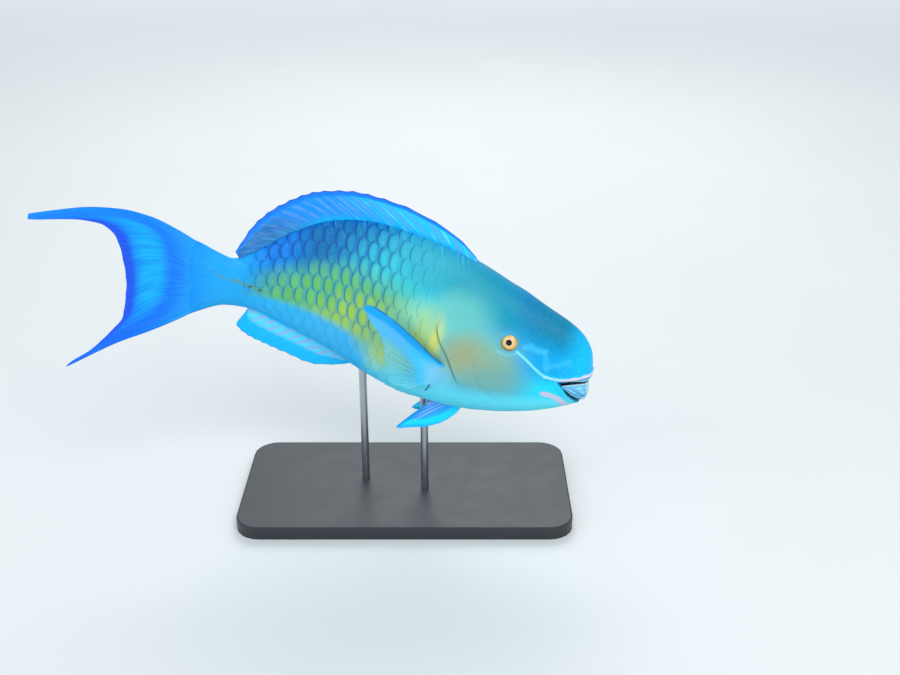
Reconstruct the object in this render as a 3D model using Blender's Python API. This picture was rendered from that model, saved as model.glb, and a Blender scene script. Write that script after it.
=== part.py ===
"""A parrotfish as a life-size display model, swimming nose-down with its tail swung to its right.

The fish is worked out on a straight body first: "along" runs back from the snout, "side" is plus
towards its left flank and "up" is its height. The function place() then bends that body along its
spine, tips it nose-down and lifts it over the middle of the stand.  All sizes are in metres.
"""
from math import cos, pi, radians, sin

import bmesh
import bpy
import numpy as np

# Driving dimensions
TRUNK_END = 0.352          # snout to the end of the flesh, the standard length
SPINE_HEIGHT = 0.190       # the body's axis over the table at the middle of the stand
MIDDLE_ALONG = 0.171       # the place along the body that is over the middle of the stand
NOSE_DOWN = radians(8)
HEAD_YAW = radians(18)     # the head points to the right flank's side
TAIL_YAW = radians(-30)    # and so does the tail
BEND_START, BEND_END = 0.146, 0.416
GAP = 0.0003               # between any two pieces

# The straight body's outline: place along it, height over its axis
BACK = ((0, -0.008), (0.003, 0.004), (0.008, 0.012), (0.014, 0.018), (0.024, 0.024), (0.049, 0.034),
        (0.077, 0.046), (0.117, 0.060), (0.160, 0.068), (0.205, 0.072), (0.240, 0.067),
        (0.277, 0.050), (0.301, 0.034), (0.322, 0.0240), (0.336, 0.0300), (TRUNK_END, 0.0390))
BELLY = ((0, -0.031), (0.003, -0.040), (0.008, -0.045), (0.016, -0.050), (0.045, -0.063),
         (0.080, -0.073), (0.121, -0.0795), (0.155, -0.079), (0.194, -0.070), (0.228, -0.056),
         (0.270, -0.038), (0.306, -0.024), (0.328, -0.0213), (TRUNK_END, -0.0275))
HALF_WIDTH = ((0, 0.0085), (0.004, 0.0120), (0.012, 0.0155), (0.030, 0.0205), (0.060, 0.0260),
              (0.100, 0.0310), (0.150, 0.0330), (0.200, 0.0300), (0.250, 0.0205), (0.300, 0.0115),
              (0.330, 0.0085), (TRUNK_END, 0.0045))
WIDEST_LEVEL = 0.55        # share of the depth at which the body is widest, from the belly
BACK_ROUNDNESS, BELLY_ROUNDNESS = 2.0, 2.3
RING_SIDES = 32
END_STEPS = ((0.80, 1.0), (0.45, 0.5), (0.15, 0.15))   # sizes of the rings that close an end, and
                                                        # the share of its curve that each one keeps

# Where the flesh is parted
GILL_EDGE = 0.108          # the gill cover's hind edge on the back
GILL_BULGE = 0.018         # how far its round edge reaches further back
GILL_UNDERCUT = 0.040      # how far the gill slit runs forward under the throat
GILL_COVER_LENGTH = 0.030
GILL_COVER_NARROW = 0.5    # its length at the top and bottom ends, as a share
GILL_COVER_SPAN = 0.25 * pi
GILL_COVER_REACH = 0.05    # the body's radius there, which turns a gap into an angle
GILL_COVER_DEPTH = 0.004
GILL_COVER_BEVEL = 0.0025  # how far its hind edge leans forward on the inside
CUT_PAST = 0.003           # how far a cutter runs out past the surface
GILL_SLIT = 0.0010         # its curved faces need more room than a flat parting
TAIL_STEM_START = 0.285

# Eyes
EYE_ALONG, EYE_UP = 0.0685, 0.0045
EYE_BALL, EYE_SHOWING = 0.0095, 0.0068   # radius of the ball, and of the round that shows

# Mouth, as seen from the side
JAW_OUTLINE = ((-0.010, -0.0425), (0.0045, -0.0425), (0.0098, -0.0385), (0.0142, -0.0345),
               (0.0225, -0.0245), (0.0300, -0.0270), (0.0400, -0.0450), (0.0480, -0.0800),
               (-0.010, -0.0800))
GAPE_OUTLINE = ((-0.010, -0.0150), (0.0030, -0.0165), (0.0110, -0.0185), (0.0180, -0.0200),
                (0.0240, -0.0215), (0.0252, -0.0240), (0.0225, -0.0260), (0.0098, -0.0400),
                (0.0045, -0.0440), (-0.010, -0.0440))
UPPER_BEAK_OUTLINE = ((-0.001, -0.0165), (0.0030, -0.0170), (0.0105, -0.0189), (0.0095, -0.0202),
                      (0.0030, -0.0204), (-0.001, -0.0200))
LOWER_BEAK_OUTLINE = ((-0.001, -0.0222), (0.0090, -0.0226), (0.0170, -0.0240), (0.0200, -0.0262),
                      (0.0139, -0.0338), (0.0095, -0.0379), (0.0043, -0.0418), (-0.001, -0.0418))
BEAK_INSET = 0.0015
BEAK_START, BEAK_END = 0.0004, 0.040
JAW_END = 0.060
MOUTH_CUT_HALF = 0.040     # half the width of the blocks that part jaw, gape and beak
FRONT_CROWD = 1.7          # over 1, rings lie closer together towards the snout

# Fins: the free edge as place along and height, base ends as places along
DORSAL_BASE = (0.115, 0.317)
DORSAL_EDGE = ((0.115, 0.062), (0.128, 0.072), (0.149, 0.082), (0.186, 0.092), (0.221, 0.095),
               (0.255, 0.090), (0.287, 0.074), (0.307, 0.056), (0.322, 0.030))
ANAL_BASE = (0.209, 0.306)
ANAL_EDGE = ((0.209, -0.064), (0.226, -0.070), (0.245, -0.0725), (0.272, -0.065), (0.291, -0.058),
             (0.307, -0.050), (0.317, -0.039), (0.310, -0.0275))
CAUDAL_ROOT = 0.3523
CAUDAL_TOP = ((CAUDAL_ROOT, 0.0393), (0.372, 0.0505), (0.395, 0.0625), (0.420, 0.070),
              (0.445, 0.0725), (0.470, 0.0710), (0.490, 0.0690))
CAUDAL_BOTTOM = ((CAUDAL_ROOT, -0.0280), (0.366, -0.033), (0.392, -0.042), (0.417, -0.049),
                 (0.436, -0.056), (0.450, -0.062), (0.462, -0.0670))
CAUDAL_TRAILING = ((0.490, 0.0690), (0.4905, 0.0645), (0.455, 0.0625), (0.435, 0.058), (0.424, 0.048),
                   (0.418, 0.032), (0.413, 0), (0.415, -0.026), (0.426, -0.040), (0.442, -0.054),
                   (0.461, -0.0652), (0.462, -0.0670))
CAUDAL_PARTS = {"caudal_fin_upper": (0, 0.30), "caudal_fin_middle": (0.30, 0.72),
                "caudal_fin_lower": (0.72, 1)}
PECTORAL_BASE = ((0.117, -0.031), (0.131, -0.052))
PECTORAL_EDGE = ((0.122, -0.026), (0.131, -0.019), (0.149, -0.003), (0.168, 0.010), (0.187, 0.018),
                 (0.193, 0.016), (0.186, 0.005), (0.173, -0.012), (0.168, -0.034), (0.163, -0.054),
                 (0.147, -0.058))
PECTORAL_SPREAD = 0.28     # rise from the flank for each metre behind the base
PELVIC_BASE = (0.104, 0.129)
PELVIC_EDGE = ((0.107, -0.0825), (0.116, -0.092), (0.132, -0.101), (0.158, -0.1065), (0.151, -0.097),
               (0.1435, -0.0885), (0.1375, -0.0812))
PELVIC_SIDE, PELVIC_SPREAD = 0.006, 0.30
PELVIC_DROP = 0.0012       # its base stands this far under the belly
SPREAD_ROUNDNESS = 0.7     # under 1, a breast fin leaves the flank quickly and then runs beside it
FIN_ROOT, FIN_RIM = 0.0028, 0.0008       # thickness at the base and at the free edge
CAUDAL_THICK = 0.0060                    # the tail fin is thicker at its root
FIN_TAPER = 1.5
FIN_CLEARANCE = 0.0008                   # the faceted back bulges a little over its own curve

# Stand
BASE_SIZE = (0.300, 0.150, 0.012)
BASE_CORNER, BASE_EDGE = 0.022, 0.0015
ROD_RADIUS = 0.0035
ROD_PLACES = {"stand_rod_front": 0.141, "stand_rod_rear": 0.201}
ROD_IN_BASE, ROD_IN_BODY = 0.008, 0.014
ROD_HOLE_LOW = 0.05        # a height under the belly, where the cutter for its hole starts


def smooth_curve(points):
    """A function through the points that never swings past them: monotone cubic pieces."""
    x, y = np.array(points, float).T
    step = np.diff(x)
    slope = np.diff(y) / step
    tangent = np.concatenate([slope[:1], np.zeros(len(x) - 2), slope[-1:]])
    same_way = slope[:-1] * slope[1:] > 0
    blend = 2 * slope[:-1] * slope[1:] / np.where(same_way, slope[:-1] + slope[1:], 1)
    tangent[1:-1] = np.where(same_way, blend, 0)

    def value(at):
        at = np.clip(at, x[0], x[-1])
        k = np.clip(np.searchsorted(x, at, side="right") - 1, 0, len(step) - 1)
        t = (at - x[k]) / step[k]
        rest = (1 - t) ** 2 * (y[k] * (1 + 2 * t) + step[k] * tangent[k] * t)
        return rest + t ** 2 * (y[k + 1] * (3 - 2 * t) - step[k] * tangent[k + 1] * (1 - t))

    return value


def smooth_path(points, share):
    """Points at each share, 0 to 1, of a smooth path through the given points."""
    points = np.array(points, float)
    reach = np.concatenate([[0], np.cumsum(np.linalg.norm(np.diff(points, axis=0), axis=1))])
    share = np.asarray(share) * reach[-1]
    return np.stack([smooth_curve(np.c_[reach, column])(share) for column in points.T], -1)


back, belly, half_width = smooth_curve(BACK), smooth_curve(BELLY), smooth_curve(HALF_WIDTH)


def yaw(along):
    """How far the spine has turned at a place along it."""
    t = np.clip((along - BEND_START) / (BEND_END - BEND_START), 0, 1)
    return HEAD_YAW + (TAIL_YAW - HEAD_YAW) * t * t * (3 - 2 * t)


SPINE_STEPS = np.linspace(-0.05, 0.55, 1201)
SPINE_X = -np.cumsum(np.cos(yaw(SPINE_STEPS))) * (SPINE_STEPS[1] - SPINE_STEPS[0])
SPINE_Y = np.cumsum(np.sin(yaw(SPINE_STEPS))) * (SPINE_STEPS[1] - SPINE_STEPS[0])


def place(along, side, up):
    """The world point of a point of the straight body."""
    along, side, up = np.broadcast_arrays(along, side, up)
    turn = yaw(along)
    middle_x = np.interp(MIDDLE_ALONG, SPINE_STEPS, SPINE_X)
    middle_y = np.interp(MIDDLE_ALONG, SPINE_STEPS, SPINE_Y)
    x = np.interp(along, SPINE_STEPS, SPINE_X) - middle_x + side * np.sin(turn)
    y = np.interp(along, SPINE_STEPS, SPINE_Y) - middle_y + side * np.cos(turn)
    tilt_cos, tilt_sin = cos(NOSE_DOWN), sin(NOSE_DOWN)
    return np.stack([x * tilt_cos + up * tilt_sin, y, SPINE_HEIGHT - x * tilt_sin + up * tilt_cos], -1)


def ring(along, angle, grow=0.0):
    """Side and height of the body's surface at an angle, 0 on the left flank, a quarter on the back."""
    top, bottom = back(along) + grow, belly(along) - grow
    level = bottom + WIDEST_LEVEL * (top - bottom)
    over = np.sin(angle) > 0
    power = 2 / np.where(over, BACK_ROUNDNESS, BELLY_ROUNDNESS)
    side = (half_width(along) + grow) * np.sign(np.cos(angle)) * np.abs(np.cos(angle)) ** power
    height = np.where(over, top - level, level - bottom)
    return side, level + height * np.sign(np.sin(angle)) * np.abs(np.sin(angle)) ** power


def flank(along, up):
    """The body's half width at a height."""
    top, bottom = back(along), belly(along)
    level = bottom + WIDEST_LEVEL * (top - bottom)
    share = np.where(up > level, (up - level) / (top - level), (level - up) / (level - bottom))
    power = np.where(up > level, BACK_ROUNDNESS, BELLY_ROUNDNESS)
    return half_width(along) * (1 - np.clip(share, 0, 1) ** power) ** (1 / power)


def underside(along, side):
    """The height of the belly at a distance from the middle."""
    bottom = belly(along)
    level = bottom + WIDEST_LEVEL * (back(along) - bottom)
    share = np.clip(np.abs(side) / half_width(along), 0, 1)
    return level - (level - bottom) * (1 - share ** BELLY_ROUNDNESS) ** (1 / BELLY_ROUNDNESS)


def material(name, colour, roughness):
    made = bpy.data.materials.new(name)
    made.use_nodes = True
    shader = made.node_tree.nodes["Principled BSDF"]
    shader.inputs["Base Color"].default_value = (*colour, 1)
    shader.inputs["Roughness"].default_value = roughness
    return made


def mesh_object(name, points, faces, finish=None, smooth=True):
    """One closed object, its faces turned outwards."""
    mesh = bpy.data.meshes.new(name)
    mesh.from_pydata([tuple(map(float, p)) for p in points], [], faces)
    work = bmesh.new()
    work.from_mesh(mesh)
    bmesh.ops.recalc_face_normals(work, faces=work.faces)
    work.to_mesh(mesh)
    work.free()
    made = bpy.data.objects.new(name, mesh)
    bpy.context.scene.collection.objects.link(made)
    if finish:
        mesh.materials.append(finish)
    if smooth:
        mesh.shade_smooth()
        mesh.set_sharp_from_angle(angle=radians(40))
    return made


def wall_faces(rings, sides):
    """The faces between the rings of a row."""
    return [(r * sides + k, r * sides + (k + 1) % sides, (r + 1) * sides + (k + 1) % sides,
             (r + 1) * sides + k) for r in range(rings - 1) for k in range(sides)]


def tube_faces(rings, sides):
    """The faces of a row of rings, with a flat end on each side."""
    ends = [tuple(range(sides)), tuple(range((rings - 1) * sides, rings * sides))]
    return wall_faces(rings, sides) + ends


def gill_line(angle, shift=0.0):
    """Place along the body of the parting behind the gill covers, all round."""
    under = np.maximum(-np.sin(angle), 0)
    return GILL_EDGE + shift + GILL_BULGE * np.abs(np.cos(angle)) ** 1.5 - GILL_UNDERCUT * under


def gill_slit_line(angle):
    """Where the trunk starts, the gill slit's width behind the head."""
    return gill_line(angle, GILL_SLIT)


def flat(at):
    """A parting that lies at one place along the body all round the ring."""
    return lambda angle: np.full_like(angle, at)


def body_length(name, starts, ends, rings, finish, crowd=1.0, grow=0.0):
    """A length of the body between two places, which may change round the ring."""
    angle = np.arange(RING_SIDES) * 2 * pi / RING_SIDES
    shares = np.linspace(0, 1, rings) ** crowd
    walls = [starts(angle) + (ends(angle) - starts(angle)) * share for share in shares]
    points = []
    # Each end closes in steps to its middle, so two ends that face each other stay one gap apart
    steps = [(walls[0], *step) for step in reversed(END_STEPS)] + [(along, 1, 1) for along in walls]
    steps += [(walls[-1], *step) for step in END_STEPS]
    for along, size, keep in steps:
        side, up = ring(along, angle, grow)
        centre = up.mean()
        flat = along.mean() + (along - along.mean()) * keep
        points.extend(place(flat, side * size, centre + (up - centre) * size))
    last = len(points)
    for along in (walls[0], walls[-1]):
        points.append(place(along.mean(), 0, ring(along, angle, grow)[1].mean()))
    faces = wall_faces(len(steps), RING_SIDES)
    for middle, first in ((last, 0), (last + 1, last - RING_SIDES)):
        faces += [(middle, first + k, first + (k + 1) % RING_SIDES) for k in range(RING_SIDES)]
    return mesh_object(name, points, faces, finish)


def side_prism(name, outline, grow=0.0):
    """A block with an outline seen from the side, right through the head; grow widens it."""
    outline = np.array(outline, float)
    ahead, behind = np.roll(outline, -1, 0) - outline, outline - np.roll(outline, 1, 0)
    turn = ahead / np.linalg.norm(ahead, axis=1)[:, None] + behind / np.linalg.norm(behind, axis=1)[:, None]
    turn /= np.linalg.norm(turn, axis=1)[:, None]
    area = np.sum(outline[:, 0] * np.roll(outline[:, 1], -1) - outline[:, 1] * np.roll(outline[:, 0], -1))
    out = np.c_[turn[:, 1], -turn[:, 0]] * (1 if area > 0 else -1)
    outline = outline + out * grow
    half = MOUTH_CUT_HALF + grow
    points = [place(a, side, u) for side in (-half, half) for a, u in outline]
    count = len(outline)
    walls = [(k, (k + 1) % count, count + (k + 1) % count, count + k) for k in range(count)]
    ends = [tuple(range(count)), tuple(range(count, 2 * count))]
    return mesh_object(name, points, walls + ends, smooth=False)


def hide_cutter(cutter):
    cutter.hide_render = True
    cutter.display_type = "WIRE"


def boolean(target, cutter, operation="DIFFERENCE"):
    cut = target.modifiers.new(operation.title() + "_" + cutter.name, "BOOLEAN")
    cut.operation = operation
    cut.solver = "EXACT"
    cut.object = cutter
    hide_cutter(cutter)


def sheet_faces(rows, columns):
    """The faces of two grids of points, one behind the other, joined round their rim."""
    count = rows * columns
    faces = []
    for r in range(rows - 1):
        for c in range(columns - 1):
            a, b = r * columns + c, (r + 1) * columns + c
            faces += [(a, a + 1, b + 1, b), (count + a, count + b, count + b + 1, count + a + 1)]
    rim = list(range(columns)) + [r * columns + columns - 1 for r in range(1, rows)]
    rim += [(rows - 1) * columns + c for c in range(columns - 2, -1, -1)]
    rim += [r * columns for r in range(rows - 2, 0, -1)]
    return faces + [(a, b, count + b, count + a) for a, b in zip(rim, rim[1:] + rim[:1])]


def plate(name, along, side, up, thick, finish=None):
    """A closed plate about a grid of middle points, its thickness across the body."""
    rows, columns = along.shape
    left = place(along, side + thick / 2, up).reshape(-1, 3)
    right = place(along, side - thick / 2, up).reshape(-1, 3)
    return mesh_object(name, np.r_[left, right], sheet_faces(rows, columns), finish)


def fin_thickness(share, root=FIN_ROOT):
    """Fins thin out from the base, share 0, to the free edge, share 1."""
    return FIN_RIM + (root - FIN_RIM) * (1 - share) ** FIN_TAPER


def median_fin(name, base, edge, line, outwards, finish, columns=24, rows=4):
    """A fin on the body's middle line: base along the back or belly, then out to its free edge."""
    share = np.linspace(0, 1, columns)
    base_along = base[0] + (base[1] - base[0]) * share
    clear = outwards * FIN_CLEARANCE
    base_up = line(base_along) + clear
    free = smooth_path(edge, share)
    out = np.linspace(0, 1, rows)[:, None]
    along = base_along + (free[:, 0] - base_along) * out
    up = base_up + (free[:, 1] - base_up) * out
    up = outwards * np.maximum(outwards * up, outwards * (line(along) + clear))
    up[-1] += outwards * GAP
    return plate(name, along, np.zeros_like(along), up, fin_thickness(out) + 0 * along, finish)


def caudal_point(share_back, share_down):
    """A point of the tail fin's sheet between its four edges."""
    t, v = share_back[..., None], share_down[..., None]
    top, bottom = smooth_path(CAUDAL_TOP, share_back), smooth_path(CAUDAL_BOTTOM, share_back)
    root = (1 - v) * np.array(CAUDAL_TOP[0]) + v * np.array(CAUDAL_BOTTOM[0])
    trailing = smooth_path(CAUDAL_TRAILING, share_down)
    corners = ((1 - t) * (1 - v) * np.array(CAUDAL_TOP[0]) + (1 - t) * v * np.array(CAUDAL_BOTTOM[0])
               + t * (1 - v) * np.array(CAUDAL_TRAILING[0]) + t * v * np.array(CAUDAL_TRAILING[-1]))
    return (1 - v) * top + v * bottom + (1 - t) * root + t * trailing - corners


def caudal_fin(finish, columns=12, rows=9):
    fin_length = CAUDAL_TOP[-1][0] - CAUDAL_ROOT
    for name, (first, last) in CAUDAL_PARTS.items():
        back_share, down_share = np.meshgrid(np.linspace(0, 1, columns), np.linspace(first, last, rows))
        point = caudal_point(back_share, down_share)
        up = point[..., 1].copy()
        up[0] -= GAP
        up[-1] += GAP
        thick = fin_thickness((point[..., 0] - CAUDAL_ROOT) / fin_length, CAUDAL_THICK)
        plate(name, point[..., 0] + GAP, np.zeros_like(up), up, thick, finish)


def paired_fin(name, sign, base, edge, side_of, finish, columns=14, rows=5):
    """A fin of rays that fan out from a short base; side_of gives how far out each point stands."""
    share = np.linspace(0, 1, columns)
    root = np.array(base[0]) + (np.array(base[1]) - np.array(base[0])) * share[:, None]
    free = smooth_path(edge, share)
    out = np.linspace(0, 1, rows)[:, None, None]
    point = root + (free - root) * out
    thick = fin_thickness(out[..., 0]) + np.zeros(point.shape[:2])
    side = side_of(point[..., 0], point[..., 1], out[..., 0]) + thick / 2
    return plate(name, point[..., 0], sign * side, point[..., 1], thick, finish)


def pectoral_side(along, up, out):
    behind = np.maximum(along - PECTORAL_BASE[0][0], 0)
    return flank(along, up) + 2 * GAP + PECTORAL_SPREAD * behind * out ** SPREAD_ROUNDNESS


def pelvic_side(along, up, out):
    return PELVIC_SIDE + PELVIC_SPREAD * np.maximum(along - PELVIC_BASE[0], 0) * out


def gill_cover(name, sign, grow, finish=None, columns=8, rows=9):
    """A curved plate that follows the cheek; grown a little, it cuts its own seat in the head."""
    span = np.linspace(-GILL_COVER_SPAN, GILL_COVER_SPAN, rows)[:, None]
    angle = span if sign > 0 else pi - span
    share = np.linspace(0, 1, columns)[None, :]
    hind = gill_line(angle) - GAP
    narrowing = 1 - (1 - GILL_COVER_NARROW) * np.abs(span / GILL_COVER_SPAN) ** 2
    front = hind - GILL_COVER_LENGTH * narrowing - grow
    hind = hind + (CUT_PAST if grow else 0)
    along = front + (hind - front) * share
    angle = angle + sign * np.linspace(-1, 1, rows)[:, None] * grow / GILL_COVER_REACH + 0 * along
    outer_side, outer_up = ring(along, angle, CUT_PAST if grow else 0.0)
    inner_along = along - (0 if grow else GILL_COVER_BEVEL) * share
    inner_side, inner_up = ring(inner_along, angle, -GILL_COVER_DEPTH - grow)
    outer = place(along, outer_side, outer_up).reshape(-1, 3)
    inner = place(inner_along, inner_side, inner_up).reshape(-1, 3)
    return mesh_object(name, np.r_[outer, inner], sheet_faces(rows, columns), finish)


def eye_ball(name, sign, grow, finish=None, segments=18, rings=10):
    """A ball that sits in the head so that only its outer round shows."""
    sunk = (EYE_BALL ** 2 - EYE_SHOWING ** 2) ** 0.5
    centre = place(EYE_ALONG, sign * (flank(EYE_ALONG, EYE_UP) - sunk), EYE_UP)
    mesh = bpy.data.meshes.new(name)
    work = bmesh.new()
    bmesh.ops.create_uvsphere(work, u_segments=segments, v_segments=rings, radius=EYE_BALL + grow)
    bmesh.ops.translate(work, verts=work.verts, vec=tuple(map(float, centre)))
    work.to_mesh(mesh)
    work.free()
    mesh.shade_smooth()
    if finish:
        mesh.materials.append(finish)
    made = bpy.data.objects.new(name, mesh)
    bpy.context.scene.collection.objects.link(made)
    return made


def rod(name, along, grow, low, finish=None, sides=20):
    """An upright rod under the body's middle line, from a height up into the belly."""
    x, y, _ = place(along, 0, belly(along))
    high = place(along, 0, belly(along) + ROD_IN_BODY)[2] + grow
    turn = np.arange(sides) * 2 * pi / sides
    radius = ROD_RADIUS + grow
    points = [(x + radius * cos(a), y + radius * sin(a), z) for z in (low, high) for a in turn]
    return mesh_object(name, points, tube_faces(2, sides), finish)


def stand(base_finish, rod_finish):
    work = bmesh.new()
    bmesh.ops.create_cube(work, size=1)
    bmesh.ops.scale(work, verts=work.verts, vec=BASE_SIZE)
    bmesh.ops.translate(work, verts=work.verts, vec=(0, 0, BASE_SIZE[2] / 2))
    upright = [e for e in work.edges if abs(e.verts[0].co.z - e.verts[1].co.z) > BASE_SIZE[2] / 2]
    bmesh.ops.bevel(work, geom=upright, offset=BASE_CORNER, segments=6, profile=0.5, affect="EDGES")
    top = [e for e in work.edges if min(v.co.z for v in e.verts) > BASE_SIZE[2] * 0.9]
    bmesh.ops.bevel(work, geom=top, offset=BASE_EDGE, segments=2, profile=0.5, affect="EDGES")
    mesh = bpy.data.meshes.new("stand_base")
    work.to_mesh(mesh)
    work.free()
    mesh.materials.append(base_finish)
    base = bpy.data.objects.new("stand_base", mesh)
    bpy.context.scene.collection.objects.link(base)
    socket_floor = BASE_SIZE[2] - ROD_IN_BASE
    for name, along in ROD_PLACES.items():
        rod(name, along, 0, socket_floor, rod_finish)
        boolean(base, rod("cut_base_" + name, along, GAP, socket_floor - GAP))


def fish():
    skin = material("blue_skin", (0.02, 0.32, 0.75), 0.35)
    cheek = material("olive_cheek", (0.33, 0.27, 0.12), 0.4)
    fin = material("blue_fin", (0.01, 0.28, 0.95), 0.4)
    beak = material("beak", (0.62, 0.80, 0.78), 0.2)
    eye = material("eye", (0.75, 0.28, 0.03), 0.08)

    head = body_length("head", flat(0.0), gill_line, 20, skin, FRONT_CROWD)
    trunk = body_length("trunk", gill_slit_line, flat(TAIL_STEM_START - GAP), 14, skin)
    body_length("tail_stem", flat(TAIL_STEM_START), flat(TRUNK_END), 9, skin)

    jaw = body_length("lower_jaw", flat(0.0), flat(JAW_END), 16, skin, FRONT_CROWD)
    boolean(jaw, side_prism("cut_jaw", JAW_OUTLINE), "INTERSECT")
    boolean(head, side_prism("cut_jaw_seat", JAW_OUTLINE, GAP))
    boolean(head, side_prism("cut_gape", GAPE_OUTLINE))
    for name, outline in (("beak_upper", UPPER_BEAK_OUTLINE), ("beak_lower", LOWER_BEAK_OUTLINE)):
        piece = body_length(name, flat(BEAK_START), flat(BEAK_END), 14, beak, FRONT_CROWD, -BEAK_INSET)
        boolean(piece, side_prism("cut_" + name, outline), "INTERSECT")

    for side, sign in (("right", -1), ("left", 1)):
        gill_cover("gill_cover_" + side, sign, 0, cheek)
        boolean(head, gill_cover("cut_gill_" + side, sign, GAP))
        eye_ball("eye_" + side, sign, 0, eye)
        boolean(head, eye_ball("cut_eye_" + side, sign, GAP))
        paired_fin("pectoral_fin_" + side, sign, PECTORAL_BASE, PECTORAL_EDGE, pectoral_side, fin)
        pelvic_root = [(a, float(underside(a, PELVIC_SIDE)) - PELVIC_DROP) for a in PELVIC_BASE]
        paired_fin("pelvic_fin_" + side, sign, pelvic_root, PELVIC_EDGE, pelvic_side, fin)

    median_fin("dorsal_fin", DORSAL_BASE, DORSAL_EDGE, back, 1, fin)
    median_fin("anal_fin", ANAL_BASE, ANAL_EDGE, belly, -1, fin, columns=18)
    caudal_fin(fin)
    for name, along in ROD_PLACES.items():
        boolean(trunk, rod("cut_body_" + name, along, GAP, ROD_HOLE_LOW))


def main():
    for old in list(bpy.data.objects):
        bpy.data.objects.remove(old)
    fish()
    stand(material("dark_base", (0.03, 0.03, 0.035), 0.45), material("steel_rod", (0.6, 0.6, 0.62), 0.3))


main()
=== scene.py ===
# %% [markdown]
# # A parrotfish on a plain display stand
# The real fish is a big-scaled, beak-mouthed reef fish about half a metre long. This script gives
# the measured solids their looks: one skin, a coat of overlapping scales, rayed fins, eyes and beak.
# We start by loading the solids, because every piece has to lie exactly where they are.

# %% Load the measured solids
from math import cos, pi, radians, sin

import bmesh
import bpy
import numpy as np
from mathutils import Matrix, Vector


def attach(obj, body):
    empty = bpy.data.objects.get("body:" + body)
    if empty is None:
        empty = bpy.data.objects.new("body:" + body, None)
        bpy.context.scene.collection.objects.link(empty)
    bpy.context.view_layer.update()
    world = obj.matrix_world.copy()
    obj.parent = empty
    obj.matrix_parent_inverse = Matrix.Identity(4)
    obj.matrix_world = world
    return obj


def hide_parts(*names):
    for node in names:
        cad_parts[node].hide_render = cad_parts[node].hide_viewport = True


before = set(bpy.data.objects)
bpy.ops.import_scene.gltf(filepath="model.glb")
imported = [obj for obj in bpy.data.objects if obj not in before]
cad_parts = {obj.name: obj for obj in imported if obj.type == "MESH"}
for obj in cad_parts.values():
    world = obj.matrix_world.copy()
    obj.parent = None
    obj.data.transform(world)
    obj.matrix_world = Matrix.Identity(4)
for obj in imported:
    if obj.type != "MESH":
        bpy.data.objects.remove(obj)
bpy.context.view_layer.update()

# %% [markdown]
# ## The straight fish and the bent fish
# A swimming fish is bent, which makes everything on it hard to place. So the fish is worked out on a
# straight body first: "along" runs back from the snout, "side" is plus towards the left flank and
# "up" is the height. One function, place(), then bends that body along its spine, tips it nose-down
# and lifts it over the stand. Scales, fins and colours can all be laid out on the straight body.

# %% Bend and tip of the body
TRUNK_END, TAIL_END = 0.352, 0.366
SPINE_HEIGHT = 0.190
MIDDLE_ALONG = 0.171
NOSE_DOWN = radians(8)
HEAD_YAW, TAIL_YAW = radians(18), radians(-30)
BEND_START, BEND_END = 0.146, 0.416


def soft_step(value, low, high):
    """0 below low, 1 above high, and a smooth slope between them."""
    t = np.clip((value - low) / (high - low), 0, 1)
    return t * t * (3 - 2 * t)


def yaw(along):
    """How far the spine has turned at a place along it."""
    return HEAD_YAW + (TAIL_YAW - HEAD_YAW) * soft_step(along, BEND_START, BEND_END)


SPINE_STEPS, STEP_LENGTH = np.linspace(-0.05, 0.55, 1201, retstep=True)
SPINE_X = -np.cumsum(np.cos(yaw(SPINE_STEPS))) * STEP_LENGTH
SPINE_Y = np.cumsum(np.sin(yaw(SPINE_STEPS))) * STEP_LENGTH


def place(along, side, up):
    """The world point of a point of the straight body."""
    along, side, up = np.broadcast_arrays(along, side, up)

    def on_spine(line):
        return np.interp(along, SPINE_STEPS, line) - np.interp(MIDDLE_ALONG, SPINE_STEPS, line)

    x = on_spine(SPINE_X) + side * np.sin(yaw(along))
    y = on_spine(SPINE_Y) + side * np.cos(yaw(along))
    tilt_cos, tilt_sin = cos(NOSE_DOWN), sin(NOSE_DOWN)
    return np.stack([x * tilt_cos + up * tilt_sin, y, SPINE_HEIGHT - x * tilt_sin + up * tilt_cos], -1)


def place_all(points):
    """The world points of an array of points of the straight body."""
    return place(*np.moveaxis(points, -1, 0))


def unit(vectors):
    """The same directions, each one long."""
    return vectors / np.maximum(np.linalg.norm(vectors, axis=-1, keepdims=True), 1e-12)


print("snout tip at", np.round(place(0.0, 0, -0.02), 3))

# %% Curves through a few points
def smooth_curve(points):
    """A function through the points that never swings past them: monotone cubic pieces."""
    x, y = np.array(points, float).T
    step = np.diff(x)
    slope = np.diff(y) / step
    tangent = np.concatenate([slope[:1], np.zeros(len(x) - 2), slope[-1:]])
    same_way = slope[:-1] * slope[1:] > 0
    blend = 2 * slope[:-1] * slope[1:] / np.where(same_way, slope[:-1] + slope[1:], 1)
    tangent[1:-1] = np.where(same_way, blend, 0)

    def value(at):
        at = np.clip(at, x[0], x[-1])
        k = np.clip(np.searchsorted(x, at, side="right") - 1, 0, len(step) - 1)
        t = (at - x[k]) / step[k]
        rest = (1 - t) ** 2 * (y[k] * (1 + 2 * t) + step[k] * tangent[k] * t)
        return rest + t ** 2 * (y[k + 1] * (3 - 2 * t) - step[k] * tangent[k + 1] * (1 - t))

    return value


def smooth_path(points, steps=200):
    """Evenly spread points on a smooth path through the given points."""
    points = np.array(points, float)
    reach = np.concatenate([[0], np.cumsum(np.linalg.norm(np.diff(points, axis=0), axis=1))])
    share = np.linspace(0, 1, steps) * reach[-1]
    return np.stack([smooth_curve(np.c_[reach, column])(share) for column in points.T], -1)


def on_path(path, share):
    """The points at each share, 0 to 1, of such a path."""
    return np.stack([np.interp(share, np.linspace(0, 1, len(path)), column) for column in path.T], -1)


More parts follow.
